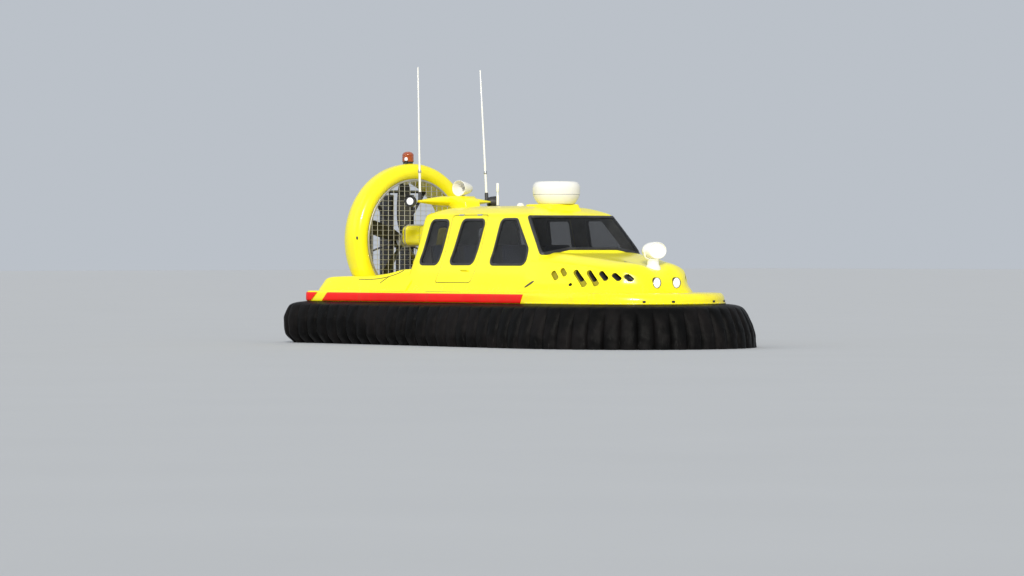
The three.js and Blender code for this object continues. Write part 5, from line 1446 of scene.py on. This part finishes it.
def build_crossbar():
    reach = np.linspace(-WING["half"], WING["half"], 61)
    turn = np.linspace(0, 2 * math.pi, 36, endpoint=False)
    soft = lambda v: np.sign(v) * np.abs(v) ** 1.15
    rings = []
    for y in reach:
        rear, front, low, high = steady(WING_STATIONS[:, 0], WING_STATIONS[:, 1:], [abs(y)])[0]
        x = (rear + front) / 2 + (front - rear) / 2 * soft(np.cos(turn))
        z = (low + high) / 2 + (high - low) / 2 * soft(np.sin(turn))
        rings.append(np.column_stack([x, np.full(len(turn), y), z]))
    piece("crossbar_wing", lofted(rings), YELLOW, "roof_crossbar", angle=60)
    side = [(-1.24, 1.86), (-1.44, 1.8), (-1.7, 1.985), (-1.7, 2.05), (-1.6, 2.078),
            (-1.38, 2.078), (-1.27, 2.0)]
    piece("crossbar_pedestal", prism(side, "y", -0.14, 0.14), YELLOW, ease=0.022, less=CABIN_OUTSIDE)
    for name, side in SIDES:
        at = np.array((WING["x"] - 0.06, side * (WING["half"] + LAMP_BESIDE), WING["z"]))
        facing = np.array((LAMP_AHEAD, side * LAMP_ASIDE, 0))
        shell = [(0, -0.045), (0.044, -0.043), (0.062, -0.034), (0.076, 0), (0.08, 0.03), (0.08, 0.078),
                 (0.077, 0.08), (0.057, 0.08), (0.053, 0.074), (0.051, 0.058), (0, 0.055)]
        piece(f"crossbar_lamp_shell_{name}", turned(shell, facing, at, 48), TRIM, f"crossbar_lamp_{name}")
        face = [(0, 0.0555), (0.05, 0.0585), (0.0515, 0.066), (0.046, 0.073), (0.03, 0.078), (0, 0.0795)]
        piece(f"crossbar_lamp_lens_{name}", turned(face, facing, at, 48), WHITE_LENS)
        across = np.array((-facing[1], facing[0], 0))
        turn = np.linspace(math.radians(25), math.radians(155), 17)
        section = ((0.05, 0.0802), (0.112, 0.0835), (0.112, 0.0862), (0.05, 0.0829))
        rings = [[at + facing * ahead + across * r * math.cos(t) + np.array(UP) * r * math.sin(t)
                  for ahead, r in section] for t in turn]
        piece(f"crossbar_lamp_hood_{name}", lofted(rings), TRIM)
        stay = rod(0.012, (-LAMP_AHEAD, side * LAMP_ASIDE, 0),
                   (WING["x"] - 0.012, side * 0.65, WING["z"]), 0.06)
        piece(f"crossbar_lamp_stay_{name}", stay, STEEL)


def build_hailer():
    x, z, facing = WING["x"] + 0.21, 2.1904, (0.25, -0.97, 0)
    bell = [(0, -0.15), (0.038, -0.149), (0.06, -0.143), (0.074, -0.1), (0.086, -0.055), (0.1, 0.02),
            (0.11, 0.085), (0.112, 0.117), (0.109, 0.12), (0.105, 0.116), (0.098, 0.075), (0.084, 0.02),
            (0.06, -0.03), (0, -0.045)]
    piece("hailer_bell", turned(bell, facing, (x, 0, z), 56), WHITE, "hailer")
    plug = [(0, -0.046), (0.016, -0.045), (0.018, 0.0), (0.014, 0.02), (0, 0.024)]
    piece("hailer_plug", turned(plug, facing, (x, 0, z), 32), LINING)
    foot = [(0, 0), (0.05, 0), (0.048, 0.006), (0.026, 0.01), (0.022, 0.03), (0.022, 0.06), (0, 0.06)]
    piece("hailer_foot", turned(foot, UP, (x, 0, 2.0783), 32), WHITE)
    spots = ((0.037, 0), (-0.037, 0), (0, 0.037), (0, -0.037))
    repeated("hailer_bolts", [(x + dx, dy, 2.084, *UP, 0.005, 0.005, 0.005) for dx, dy in spots], STEEL)


ROD_ANTENNA, DOME_ANTENNA = (-1.02, 0.25, 1.9), (-0.14, -0.09, 1.9)
# How far each whip leans back, in radians.
WHIP_LEANS = (0.078, 0.026)


def build_antennas():
    for (name, side), lean in zip(SIDES, WHIP_LEANS):
        toward = (-math.sin(lean), 0, math.cos(lean))
        root = (WING["x"] - 0.005, side * (WING["half"] - 0.045), WING["z"] + 0.021)
        whip = [(0, 0.1), (0.019, 0.1), (0.0185, 0.125), (0.017, 0.14), (0.0168, 0.38), (0.015, 0.42),
                (0.012, 1.1), (0.0088, 1.866), (0.006, 1.871), (0, 1.872)]
        foot = [(0, 0), (0.03, 0), (0.03, 0.01), (0.027, 0.014), (0.026, 0.095), (0.0235, 0.108),
                (0.0185, 0.112), (0, 0.112)]
        collar = [(0.016, 0.375), (0.0215, 0.38), (0.023, 0.385), (0.023, 0.415), (0.0215, 0.42),
                  (0.0145, 0.424)]
        piece(f"whip_{name}", turned(whip, toward, root, 20), WHITE, f"whip_antenna_{name}")
        piece(f"whip_foot_{name}", turned(foot, toward, root, 28), TRIM)
        piece(f"whip_collar_{name}", turned(collar, toward, root, 28, closed=True), ALLOY)
    mast = [(0, 0.02), (0.0168, 0.02), (0.0168, 0.186), (0.0122, 0.198), (0.0118, 0.24), (0.0184, 0.25),
            (0.019, 0.262), (0.0188, 0.352), (0.014, 0.361), (0, 0.362)]
    piece("rod_antenna_mast", turned(mast, UP, ROD_ANTENNA, 24), WHITE, "roof_rod_antenna")
    foot = [(0, 0), (0.034, 0), (0.034, 0.036), (0.024, 0.046), (0, 0.046)]
    piece("rod_antenna_foot", turned(foot, UP, ROD_ANTENNA, 24), TRIM, less=CABIN_OUTSIDE)
    dome = [(0, 0), (0.055, 0), (0.055, 0.026), (0.05, 0.044), (0.04, 0.06), (0.022, 0.071), (0, 0.074)]
    piece("dome_antenna_cover", turned(dome, UP, DOME_ANTENNA, 36), WHITE, "roof_dome_antenna",
          less=CABIN_OUTSIDE)


def build_radar():
    foot, top = np.array([(0.06, 0.33), (0.83, 0.3)]), np.array([(0.15, 0.29), (0.73, 0.26)])
    rings = []
    # Columns: share of the way up, how much the outline is drawn in.
    levels = ((0, 0), (0.4, 0.012), (0.7, 0.014), (0.88, 0.008), (0.955, 0.006), (0.985, 0.012), (1, 0.024))
    for share, draw in levels:
        (rear, wide), (front, slim) = foot + (top - foot) * share
        corners = [(rear + draw, -wide + draw), (front - draw, -slim + draw), (front - draw, slim - draw),
                   (rear + draw, wide - draw)]
        outline = rounded(corners, 0.08)
        rings.append(np.column_stack([outline, np.full(len(outline), 1.8 + 0.15 * share)]))
    piece("radar_plinth", lofted(rings), YELLOW, "radar_platform", less=CABIN_OUTSIDE)
    at = (0.51, 0, 1.9503)
    lower = [(0, 0), (0.244, 0), (0.256, 0.008), (0.289, 0.05), (0.309, 0.088), (0.3225, 0.126),
             (0.323, 0.13), (0, 0.13)]
    upper = [(0, 0.1345), (0.3235, 0.1345), (0.3285, 0.175), (0.33, 0.212), (0.3265, 0.246), (0.315, 0.278),
             (0.295, 0.3), (0.266, 0.312), (0.2, 0.3155), (0, 0.318)]
    piece("radome_base", turned(lower, UP, at, 80), WHITE, "radome", angle=35)
    piece("radome_cover", turned(upper, UP, at, 80), WHITE, angle=35)
    seam = [(0.3, 0.1295), (0.3205, 0.1295), (0.3205, 0.135), (0.3, 0.135)]
    piece("radome_seam", turned(seam, UP, at, 80, closed=True), SEAL)


# Bow fittings

SEARCHLIGHT = dict(x=2.47, root=1.0, foot=1.1653, middle=1.3093)


def squeezed(shape):
    """The searchlight's head is flattened and wide."""
    points, faces = shape
    return points * (1.1, 1.2, 0.84) + (SEARCHLIGHT["x"], 0, SEARCHLIGHT["middle"]), faces


def build_searchlight():
    s = SEARCHLIGHT
    origin, body = (0, 0, 0), "bow_searchlight"
    back = [(0, -0.115), (0.04, -0.113), (0.076, -0.104), (0.104, -0.084), (0.124, -0.055), (0.136, -0.018),
            (0.14, 0.02), (0.1395, 0.06), (0.137, 0.08), (0.133, 0.085), (0.126, 0.085), (0.122, 0.08),
            (0.12, 0.064), (0, 0.06)]
    piece("searchlight_head", squeezed(turned(back, AHEAD, origin, 64)), WHITE,
          "bow_searchlight", body=body)
    face = [(0, 0.0605), (0.119, 0.0645), (0.119, 0.071), (0.1, 0.0755), (0.06, 0.0785), (0, 0.08)]
    piece("searchlight_lens", squeezed(turned(face, AHEAD, origin, 56)), WHITE_LENS, body=body)
    bezel = softened([(0.1195, 0.07), (0.134, 0.07), (0.134, 0.0865), (0.1195, 0.0865)], 2)
    piece("searchlight_bezel", squeezed(turned(bezel, AHEAD, origin, 56, closed=True)), WHITE, body=body)
    cradle = [(0, 0), (0.078, 0), (0.082, 0.006), (0.086, 0.028), (0.082, 0.048), (0.066, 0.066), (0, 0.07)]
    piece("searchlight_cradle", turned(cradle, UP, (s["x"], 0, s["foot"]), 48), WHITE, body=body)
    for name, side in SIDES:
        bends = ((0.05, 1.196), (0.1, 1.198), (0.138, 1.215), (0.154, 1.25), (0.156, 1.3))
        arm = [(s["x"], side * y, z) for y, z in bends]
        piece(f"searchlight_arm_{name}", tube(softened(arm, 3, closed=False), 0.0115, 14), WHITE, body=body)
        knob = [(0, 0), (0.038, 0), (0.04, 0.004), (0.036, 0.024), (0.02, 0.03), (0, 0.03)]
        at = (s["x"], side * 0.1415, s["middle"] + 0.006)
        piece(f"searchlight_knob_{name}", turned(knob, (0, side, 0), at, 32), WHITE, body=body)
    gland = [(0, 0), (0.02, 0), (0.02, 0.016), (0.014, 0.022), (0.012, 0.045), (0, 0.045)]
    piece("searchlight_gland", turned(gland, (-0.3, 0.954, 0), (s["x"] - 0.02, 0.07, 1.186), 24),
          SEAL, body=body)
    post = [(0, 0), (0.11, 0), (0.105, 0.06), (0.098, 0.09), (0.088, 0.108), (0.081, 0.124), (0.079, 0.145),
            (0.08, 0.159), (0.077, 0.165), (0, 0.165)]
    nose = lofted(nose_rings(-0.0003, DECK_TOP - 0.1, NOSE_START, NOSE_END, 60))
    at = (s["x"], 0, s["root"])
    piece("searchlight_pillar", turned(post, UP, at, 48), WHITE, "searchlight_post", less=nose)


def build_nose_lamps():
    for name, side in SIDES:
        at = (LAMP["x"] - 0.06, side * LAMP["y"], LAMP["z"])
        bezel = [(0, 0), (0.07, 0), (0.072, 0.004), (0.072, 0.122), (0.0712, 0.127), (0.07, 0.1285),
                 (0.069, 0.126), (0.0685, 0.112), (0, 0.104)]
        piece(f"nose_lamp_bezel_{name}", turned(bezel, AHEAD, at, 48), TRIM, f"nose_lamp_{name}")
        face = [(0, 0.1045), (0.0675, 0.1125), (0.068, 0.118), (0.054, 0.126), (0.027, 0.1305), (0, 0.1315)]
        piece(f"nose_lamp_lens_{name}", turned(face, AHEAD, at, 48), WHITE_LENS)


def edge_block(length, z, size, finish, name, ease=0.006):
    """A block set on the deck's edge: its size is outward, along the edge and up."""
    (place,), (outward,) = edge_at([length])
    along = np.array([-outward[1], outward[0]])
    out, wide, tall = size
    rings = [[(*(place + outward * o + along * a), z + h)
              for a, h in ((-wide, -tall), (wide, -tall), (wide, tall), (-wide, tall))]
             for o in (-0.05, out)]
    return piece(name, lofted(rings), finish, ease=ease)


def build_edge_fittings():
    """The batten that clamps the skirt at the bow, its bolts, lugs, grab handles, treads and the hood's
    catches.
    """
    start = edge_length_at(1.4)
    lengths = np.linspace(start, 2 * EDGE_TOTAL - start, 420)
    batten = [(-0.01, 0.594), (0.011, 0.594), (0.014, 0.598), (0.014, 0.609), (0.011, 0.613),
              (-0.01, 0.613)]
    swept("skirt_batten", lengths, batten, YELLOW)
    place, outward = edge_at(np.linspace(start + 0.05, 2 * EDGE_TOTAL - start - 0.05, 56))
    rows = [(*(p + o * 0.0138), 0.6035, *o, 0, 0.0055, 0.0055, 0.004) for p, o in zip(place, outward)]
    repeated("skirt_batten_bolts", rows, STEEL)
    for name, side in SIDES:
        for k, x in enumerate((3.08, 3.26)):
            length = side * float(np.interp(x, EDGE[-900:, 0], EDGE_LENGTHS[-900:]))
            edge_block(length, 0.63, (0.018, 0.02, 0.014), TRIM, f"bow_lug_{k}_{name}")
        ends = [(1.175, side * 1.145, 0.8), (1.186, side * 1.17, 0.806), (1.275, side * 1.116, 0.88),
                (1.29, side * 1.086, 0.888)]
        piece(f"nose_handle_{name}", tube(softened(ends, 3, closed=False), 0.0175, 14), TRIM)
        sill = np.linspace(edge_length_at(-0.75), edge_length_at(-0.08), 40) * side
        tread = [(-0.112, 0.7403), (-0.04, 0.7403), (-0.042, 0.7438), (-0.11, 0.7438)]
        swept(f"sill_tread_{name}", sill, tread, NON_SLIP)
    catches = [(2.19, side * 0.26, 1.152, 0.35, 0, 0.94, 0.016, 0.03, 0.01) for _, side in SIDES]
    repeated("hood_catches", catches, SEAL, body="hood", sides=4, taper=0.7)


# Cabin furniture

FLOOR = 0.3303


def swollen(name, size, channels, cap=0.016, voxel=0.007):
    """A cushion blown up by pressure inside its cover. Its edge seam and its sewn channels hold it in."""
    deep, wide, thick = size
    corner = rounded([(-deep / 2, -wide / 2), (deep / 2, -wide / 2), (deep / 2, wide / 2),
                      (-deep / 2, wide / 2)], 0.05)
    rings = [np.column_stack([moved_in(corner, inset), np.full(len(corner), z * thick)])
             for z, inset in ((-0.5, 0.014), (-0.4, 0.004), (0, 0), (0.4, 0.004), (0.5, 0.014))]
    made = mesh_object(name, *lofted(rings), CLOTH)
    made.data.remesh_voxel_size = voxel
    step = made.modifiers.new("remesh", "REMESH")
    step.mode, step.voxel_size = "VOXEL", voxel
    settled(made)
    rest = np.zeros(len(made.data.vertices) * 3)
    made.data.vertices.foreach_get("co", rest)
    rest = rest.reshape(-1, 3)
    held = made.vertex_groups.new(name="seams")
    top = rest[:, 2] > thick * 0.3
    on_channel = np.min([np.abs(rest[:, 0] - c) for c in channels], 0) < voxel * 0.8
    under = rest[:, 2] < -thick * 0.35
    held.add([int(i) for i in np.nonzero((top & on_channel) | under)[0]], 1.0, "REPLACE")
    cover = made.modifiers.new("cover", "CLOTH")
    cloth = cover.settings
    cloth.quality, cloth.mass = 5, 0.3
    cloth.tension_stiffness, cloth.bending_stiffness = 15, 0.5
    cloth.use_pressure, cloth.uniform_pressure_force = True, 4.0
    cloth.effector_weights.gravity = 0.0
    cloth.vertex_group_mass = held.name
    cover.point_cache.frame_start, cover.point_cache.frame_end = 1, 20
    for moment in range(1, 21):
        bpy.context.scene.frame_set(moment)
    result = made.evaluated_get(bpy.context.evaluated_depsgraph_get()).data
    moved = np.zeros(len(rest) * 3)
    result.vertices.foreach_get("co", moved)
    move = moved.reshape(-1, 3) - rest
    size = np.linalg.norm(move, axis=1)[:, None]
    rest = rest + move * np.minimum(1, cap / np.maximum(size, 1e-9))
    bpy.context.scene.frame_set(1)
    faces = [tuple(f.vertices) for f in made.data.polygons]
    bpy.data.objects.remove(made)
    return rest, faces


def set_cushion(name, pad, stretch, lean, at, *nodes):
    """A cushion's copy, widened, leaned back and put in its place."""
    points, faces = pad
    c, s = math.cos(lean), math.sin(lean)
    x, y, z = (points * (1, stretch, 1)).T
    points = np.stack([x * c - z * s, y, x * s + z * c], 1) + at
    made = mesh_object(name, points, faces, CLOTH, 80)
    placed(made, "craft", *nodes)


SEAT_PAD = (0.415, 0.455, 0.105)
BACK_PAD = (0.61, 0.455, 0.062)
BACK_LEAN = math.radians(90 + 10.5)


def build_seats():
    seat_pad = swollen("seat_pad", SEAT_PAD, (-0.07, 0.07))
    back_pad = swollen("back_pad", BACK_PAD, (-0.12, 0.02, 0.16))
    # Columns: name, node, front end, centres of the places, width of each place.
    table = (
        ("front_seat_port", "front_seat_port", 0.61, (0.395,), 0.49),
        ("front_seat_starboard", "front_seat_starboard", 0.61, (-0.395,), 0.49),
        ("middle_bench", "middle_bench", -0.14, (-0.4665, 0.0, 0.4665), 0.4665),
        ("rear_bench", "rear_bench", -0.8, (-0.4665, 0.0, 0.4665), 0.4665),
    )
    for name, node, front, places, width in table:
        low, high = places[0] - width / 2, places[-1] + width / 2
        stretch = (width - 0.032) / SEAT_PAD[1]
        for k, y in enumerate(places):
            nodes = (node,) if k == 0 else ()
            set_cushion(f"{name}_cushion_{k}", seat_pad, stretch, 0.0,
                        (front - 0.178, y, FLOOR + 0.367), *nodes)
            set_cushion(f"{name}_back_{k}", back_pad, stretch, BACK_LEAN,
                        (front - 0.474, y, FLOOR + 0.755))
        box = [(front - 0.385, FLOOR + 0.006), (front - 0.01, FLOOR + 0.006), (front + 0.012, FLOOR + 0.3),
               (front - 0.415, FLOOR + 0.3)]
        piece(f"{name}_box", prism(box, "y", low + 0.012, high - 0.012), LINING, ease=0.012)
        shell = [(front - 0.425, FLOOR + 0.31), (front - 0.44, FLOOR + 0.31), (front - 0.588, FLOOR + 1.03),
                 (front - 0.575, FLOOR + 1.05)]
        piece(f"{name}_back_board", prism(shell, "y", low + 0.018, high - 0.018), TRIM, ease=0.004)


WHEEL = dict(y=-0.395, root=(1.012, 1.075), out=0.21, rim=0.163)


def build_controls():
    side = [(0.985, 0.88), (1.14, 0.88), (1.2, 1.0), (1.2, 1.2), (1.15, 1.24), (1.02, 1.19)]
    tilt = Vector((-0.88, 0, 0.47)).normalized()
    root = Vector((WHEEL["root"][0], WHEEL["y"], WHEEL["root"][1]))
    hole = rod(0.0265, tilt, root - tilt * 0.06, 0.2)
    piece("dashboard_moulding", prism(side, "y", -0.76, 0.76), TRIM, "dashboard", ease=0.018, less=hole)
    pedestal = [(1.0, FLOOR + 0.006), (1.17, FLOOR + 0.006), (1.15, 0.9), (1.0, 0.9)]
    piece("control_pedestal", prism(pedestal, "y", -0.17, 0.17), TRIM, ease=0.015)

    # The dashboard's rear face leans a little forward as it rises.
    slope = Vector((1.02 - 0.985, 0, 1.19 - 0.88)).normalized()
    facing = Vector((-slope.z, 0, slope.x))
    def on_face(y, up, proud=0.0):
        return Vector((0.985, y, 0.88)) + slope * up + facing * proud
    dials = [(-0.64, 0.16, 0.038), (-0.545, 0.235, 0.046), (-0.395, 0.262, 0.04), (-0.245, 0.235, 0.046),
             (-0.15, 0.16, 0.038)]
    for k, (y, up, radius) in enumerate(dials):
        bezel = [(0, 0.001), (radius, 0.001), (radius, 0.007), (radius - 0.004, 0.01),
                 (radius - 0.007, 0.006), (0, 0.005)]
        piece(f"dial_bezel_{k}", turned(bezel, facing, on_face(y, up), 36), ALLOY)
        disc = [(0, 0.0055), (radius - 0.008, 0.0055), (radius - 0.008, 0.0075), (0, 0.0075)]
        piece(f"dial_face_{k}", turned(disc, facing, on_face(y, up), 32), WHITE)
        ticks = []
        for angle in np.linspace(math.radians(-45), math.radians(225), 11):
            spoke = Vector((0, math.cos(angle), 0)) + slope * math.sin(angle)
            foot = on_face(y, up, 0.0075) + spoke * (radius - 0.014)
            ticks.append((*foot, *facing, 0.0016, 0.0016, 0.0008))
        repeated(f"dial_ticks_{k}", ticks, TRIM, sides=4, taper=1.0)
        foot = on_face(y, up, 0.0085)
        needle = [foot, foot + (slope * 0.7 - Vector((0, 0.7, 0))) * (radius - 0.013)]
        piece(f"dial_needle_{k}", tube(needle, (0.0016, 0.0007), 6), RED)
    case = rounded([(0.0, 0.1), (0.3, 0.1), (0.3, 0.29), (0.0, 0.29)], 0.015)
    rings = [[tuple(on_face(y, up, proud)) for y, up in case] for proud in (-0.01, 0.012)]
    piece("chart_screen_frame", lofted(rings), TRIM, ease=0.003)
    screen = rounded([(0.02, 0.12), (0.28, 0.12), (0.28, 0.27), (0.02, 0.27)], 0.006)
    rings = [[tuple(on_face(y, up, proud)) for y, up in screen] for proud in (0.008, 0.0128)]
    piece("chart_screen", lofted(rings), SCREEN)
    switches = [(*on_face(y, up), *facing, 0.01, 0.014, 0.012) for y in np.linspace(0.38, 0.66, 8)
                for up in (0.12, 0.18, 0.24)]
    repeated("dashboard_switches", switches, LINING, sides=4, taper=0.7)
    lever = [(0.975, 0.09, 0.83), (0.93, 0.09, 0.865), (0.905, 0.09, 0.905)]
    piece("throttle_lever", tube(lever, 0.007, 12), ALLOY)
    grip = [(0, 0), (0.016, 0.002), (0.019, 0.016), (0.016, 0.034), (0, 0.038)]
    piece("throttle_knob", turned(grip, (-0.35, 0, 0.94), (0.909, 0.09, 0.898), 24), RED)

    # The wheel turns about its own column.
    centre = root + tilt * WHEEL["out"]
    across, up = Vector((0, 1, 0)), tilt.cross(Vector((0, 1, 0)))
    def on_wheel(radius, angle, ahead=0.0):
        return centre + (across * math.cos(angle) + up * math.sin(angle)) * radius + tilt * ahead
    rim = [on_wheel(WHEEL["rim"], a) for a in np.linspace(0, 2 * math.pi, 72, endpoint=False)]
    piece("wheel_rim", tube(rim, 0.0128, 18, closed=True, up=tilt), TRIM, "steering_wheel",
          body="steering_wheel")
    spokes = []
    for angle in (0.0, math.pi, -math.pi / 2 if up.z > 0 else math.pi / 2):
        steps = ((0.02, -0.02), (0.07, -0.018), (0.12, -0.008), (0.158, 0))
        path = [on_wheel(r, angle, h) for r, h in steps]
        spokes.append(tube(softened([tuple(p) for p in path], 2, closed=False), 0.0085, 12))
    piece("wheel_spokes", joined(*spokes), ALLOY, body="steering_wheel")
    hub = [(0, -0.26), (0.0235, -0.26), (0.0235, -0.045), (0.045, -0.035), (0.048, -0.006),
           (0.036, 0.004), (0, 0.007)]
    piece("wheel_hub", turned(hub, tilt, centre, 36), TRIM, body="steering_wheel")
    mat = rounded([(-1.33, -0.815), (1.165, -0.815), (1.165, 0.815), (-1.33, 0.815)], 0.06)
    piece("floor_mat", prism(mat, "z", FLOOR, FLOOR + 0.004), NON_SLIP)


def dress_kept_nodes():
    """CAD nodes whose shapes stay."""
    kept = {
        "hull": YELLOW, "landing_skid_port": ALLOY, "landing_skid_starboard": ALLOY, "lift_fan": BLADE,
        "engine_block": IRON,
    }
    for node, finish in kept.items():
        dressed(node, finish)


build_strip()
build_deck()
build_coamings()
build_cabin()
build_duct()
build_beacon()
build_guard()
build_engine()
build_propeller()
build_stators()
build_rudders()
build_crossbar()
build_hailer()
build_antennas()
build_radar()
build_searchlight()
build_nose_lamps()
build_edge_fittings()
build_seats()
build_controls()
dress_kept_nodes()


# Studio

# Columns: the way the light comes from, its softness in degrees, its strength, its colour.
SUNS = (
    ((0.74, -0.66, 0.5), 12, 3.0, (1.0, 0.96, 0.89)),
    ((-0.5, -0.75, 0.5), 50, 0.45, (0.9, 0.95, 1.0)),
)
SKY_COLOUR, SKY_STRENGTH = (0.8, 0.86, 0.94, 1), 0.62


def studio():
    bpy.ops.mesh.primitive_plane_add(size=400)
    floor = bpy.context.object
    floor.name = "studio_floor"
    floor.data.materials.append(STUDIO_FLOOR)
    world = bpy.data.worlds.new("studio")
    bpy.context.scene.world = world
    world.use_nodes = True
    background = world.node_tree.nodes["Background"].inputs
    background["Color"].default_value = SKY_COLOUR
    background["Strength"].default_value = SKY_STRENGTH
    for place, softness, strength, tint in SUNS:
        lamp = bpy.data.lights.new("soft_sun", "SUN")
        lamp.energy, lamp.angle, lamp.color = strength, math.radians(softness), tint
        holder = bpy.data.objects.new("soft_sun", lamp)
        bpy.context.scene.collection.objects.link(holder)
        holder.rotation_euler = Vector(place).to_track_quat("Z", "Y").to_euler()


# Where the photo was taken from, in metres and degrees, and its lens and width in pixels.
CAMERA = dict(heading=41, distance=60.0, height=1.29, aside=0.278, dip=0.4775)
FOCAL_PIXELS, PHOTO_WIDTH = 4320, 1024
SENSOR_WIDTH = 36.0


def camera():
    heading = math.radians(CAMERA["heading"])
    toward = Vector((math.cos(heading), -math.sin(heading), 0))
    right = Vector((math.sin(heading), math.cos(heading), 0))
    lens = bpy.data.cameras.new("camera")
    lens.sensor_width, lens.lens = SENSOR_WIDTH, SENSOR_WIDTH * FOCAL_PIXELS / PHOTO_WIDTH
    lens.clip_end = 500
    holder = bpy.data.objects.new("camera", lens)
    bpy.context.scene.collection.objects.link(holder)
    place = toward * CAMERA["distance"] - right * CAMERA["aside"]
    holder.location = place + Vector((0, 0, CAMERA["height"]))
    holder.rotation_euler = (math.radians(90 - CAMERA["dip"]), 0, math.radians(90 - CAMERA["heading"]))
    bpy.context.scene.camera = holder
    bpy.context.scene.view_settings.view_transform = "Standard"


studio()
camera()
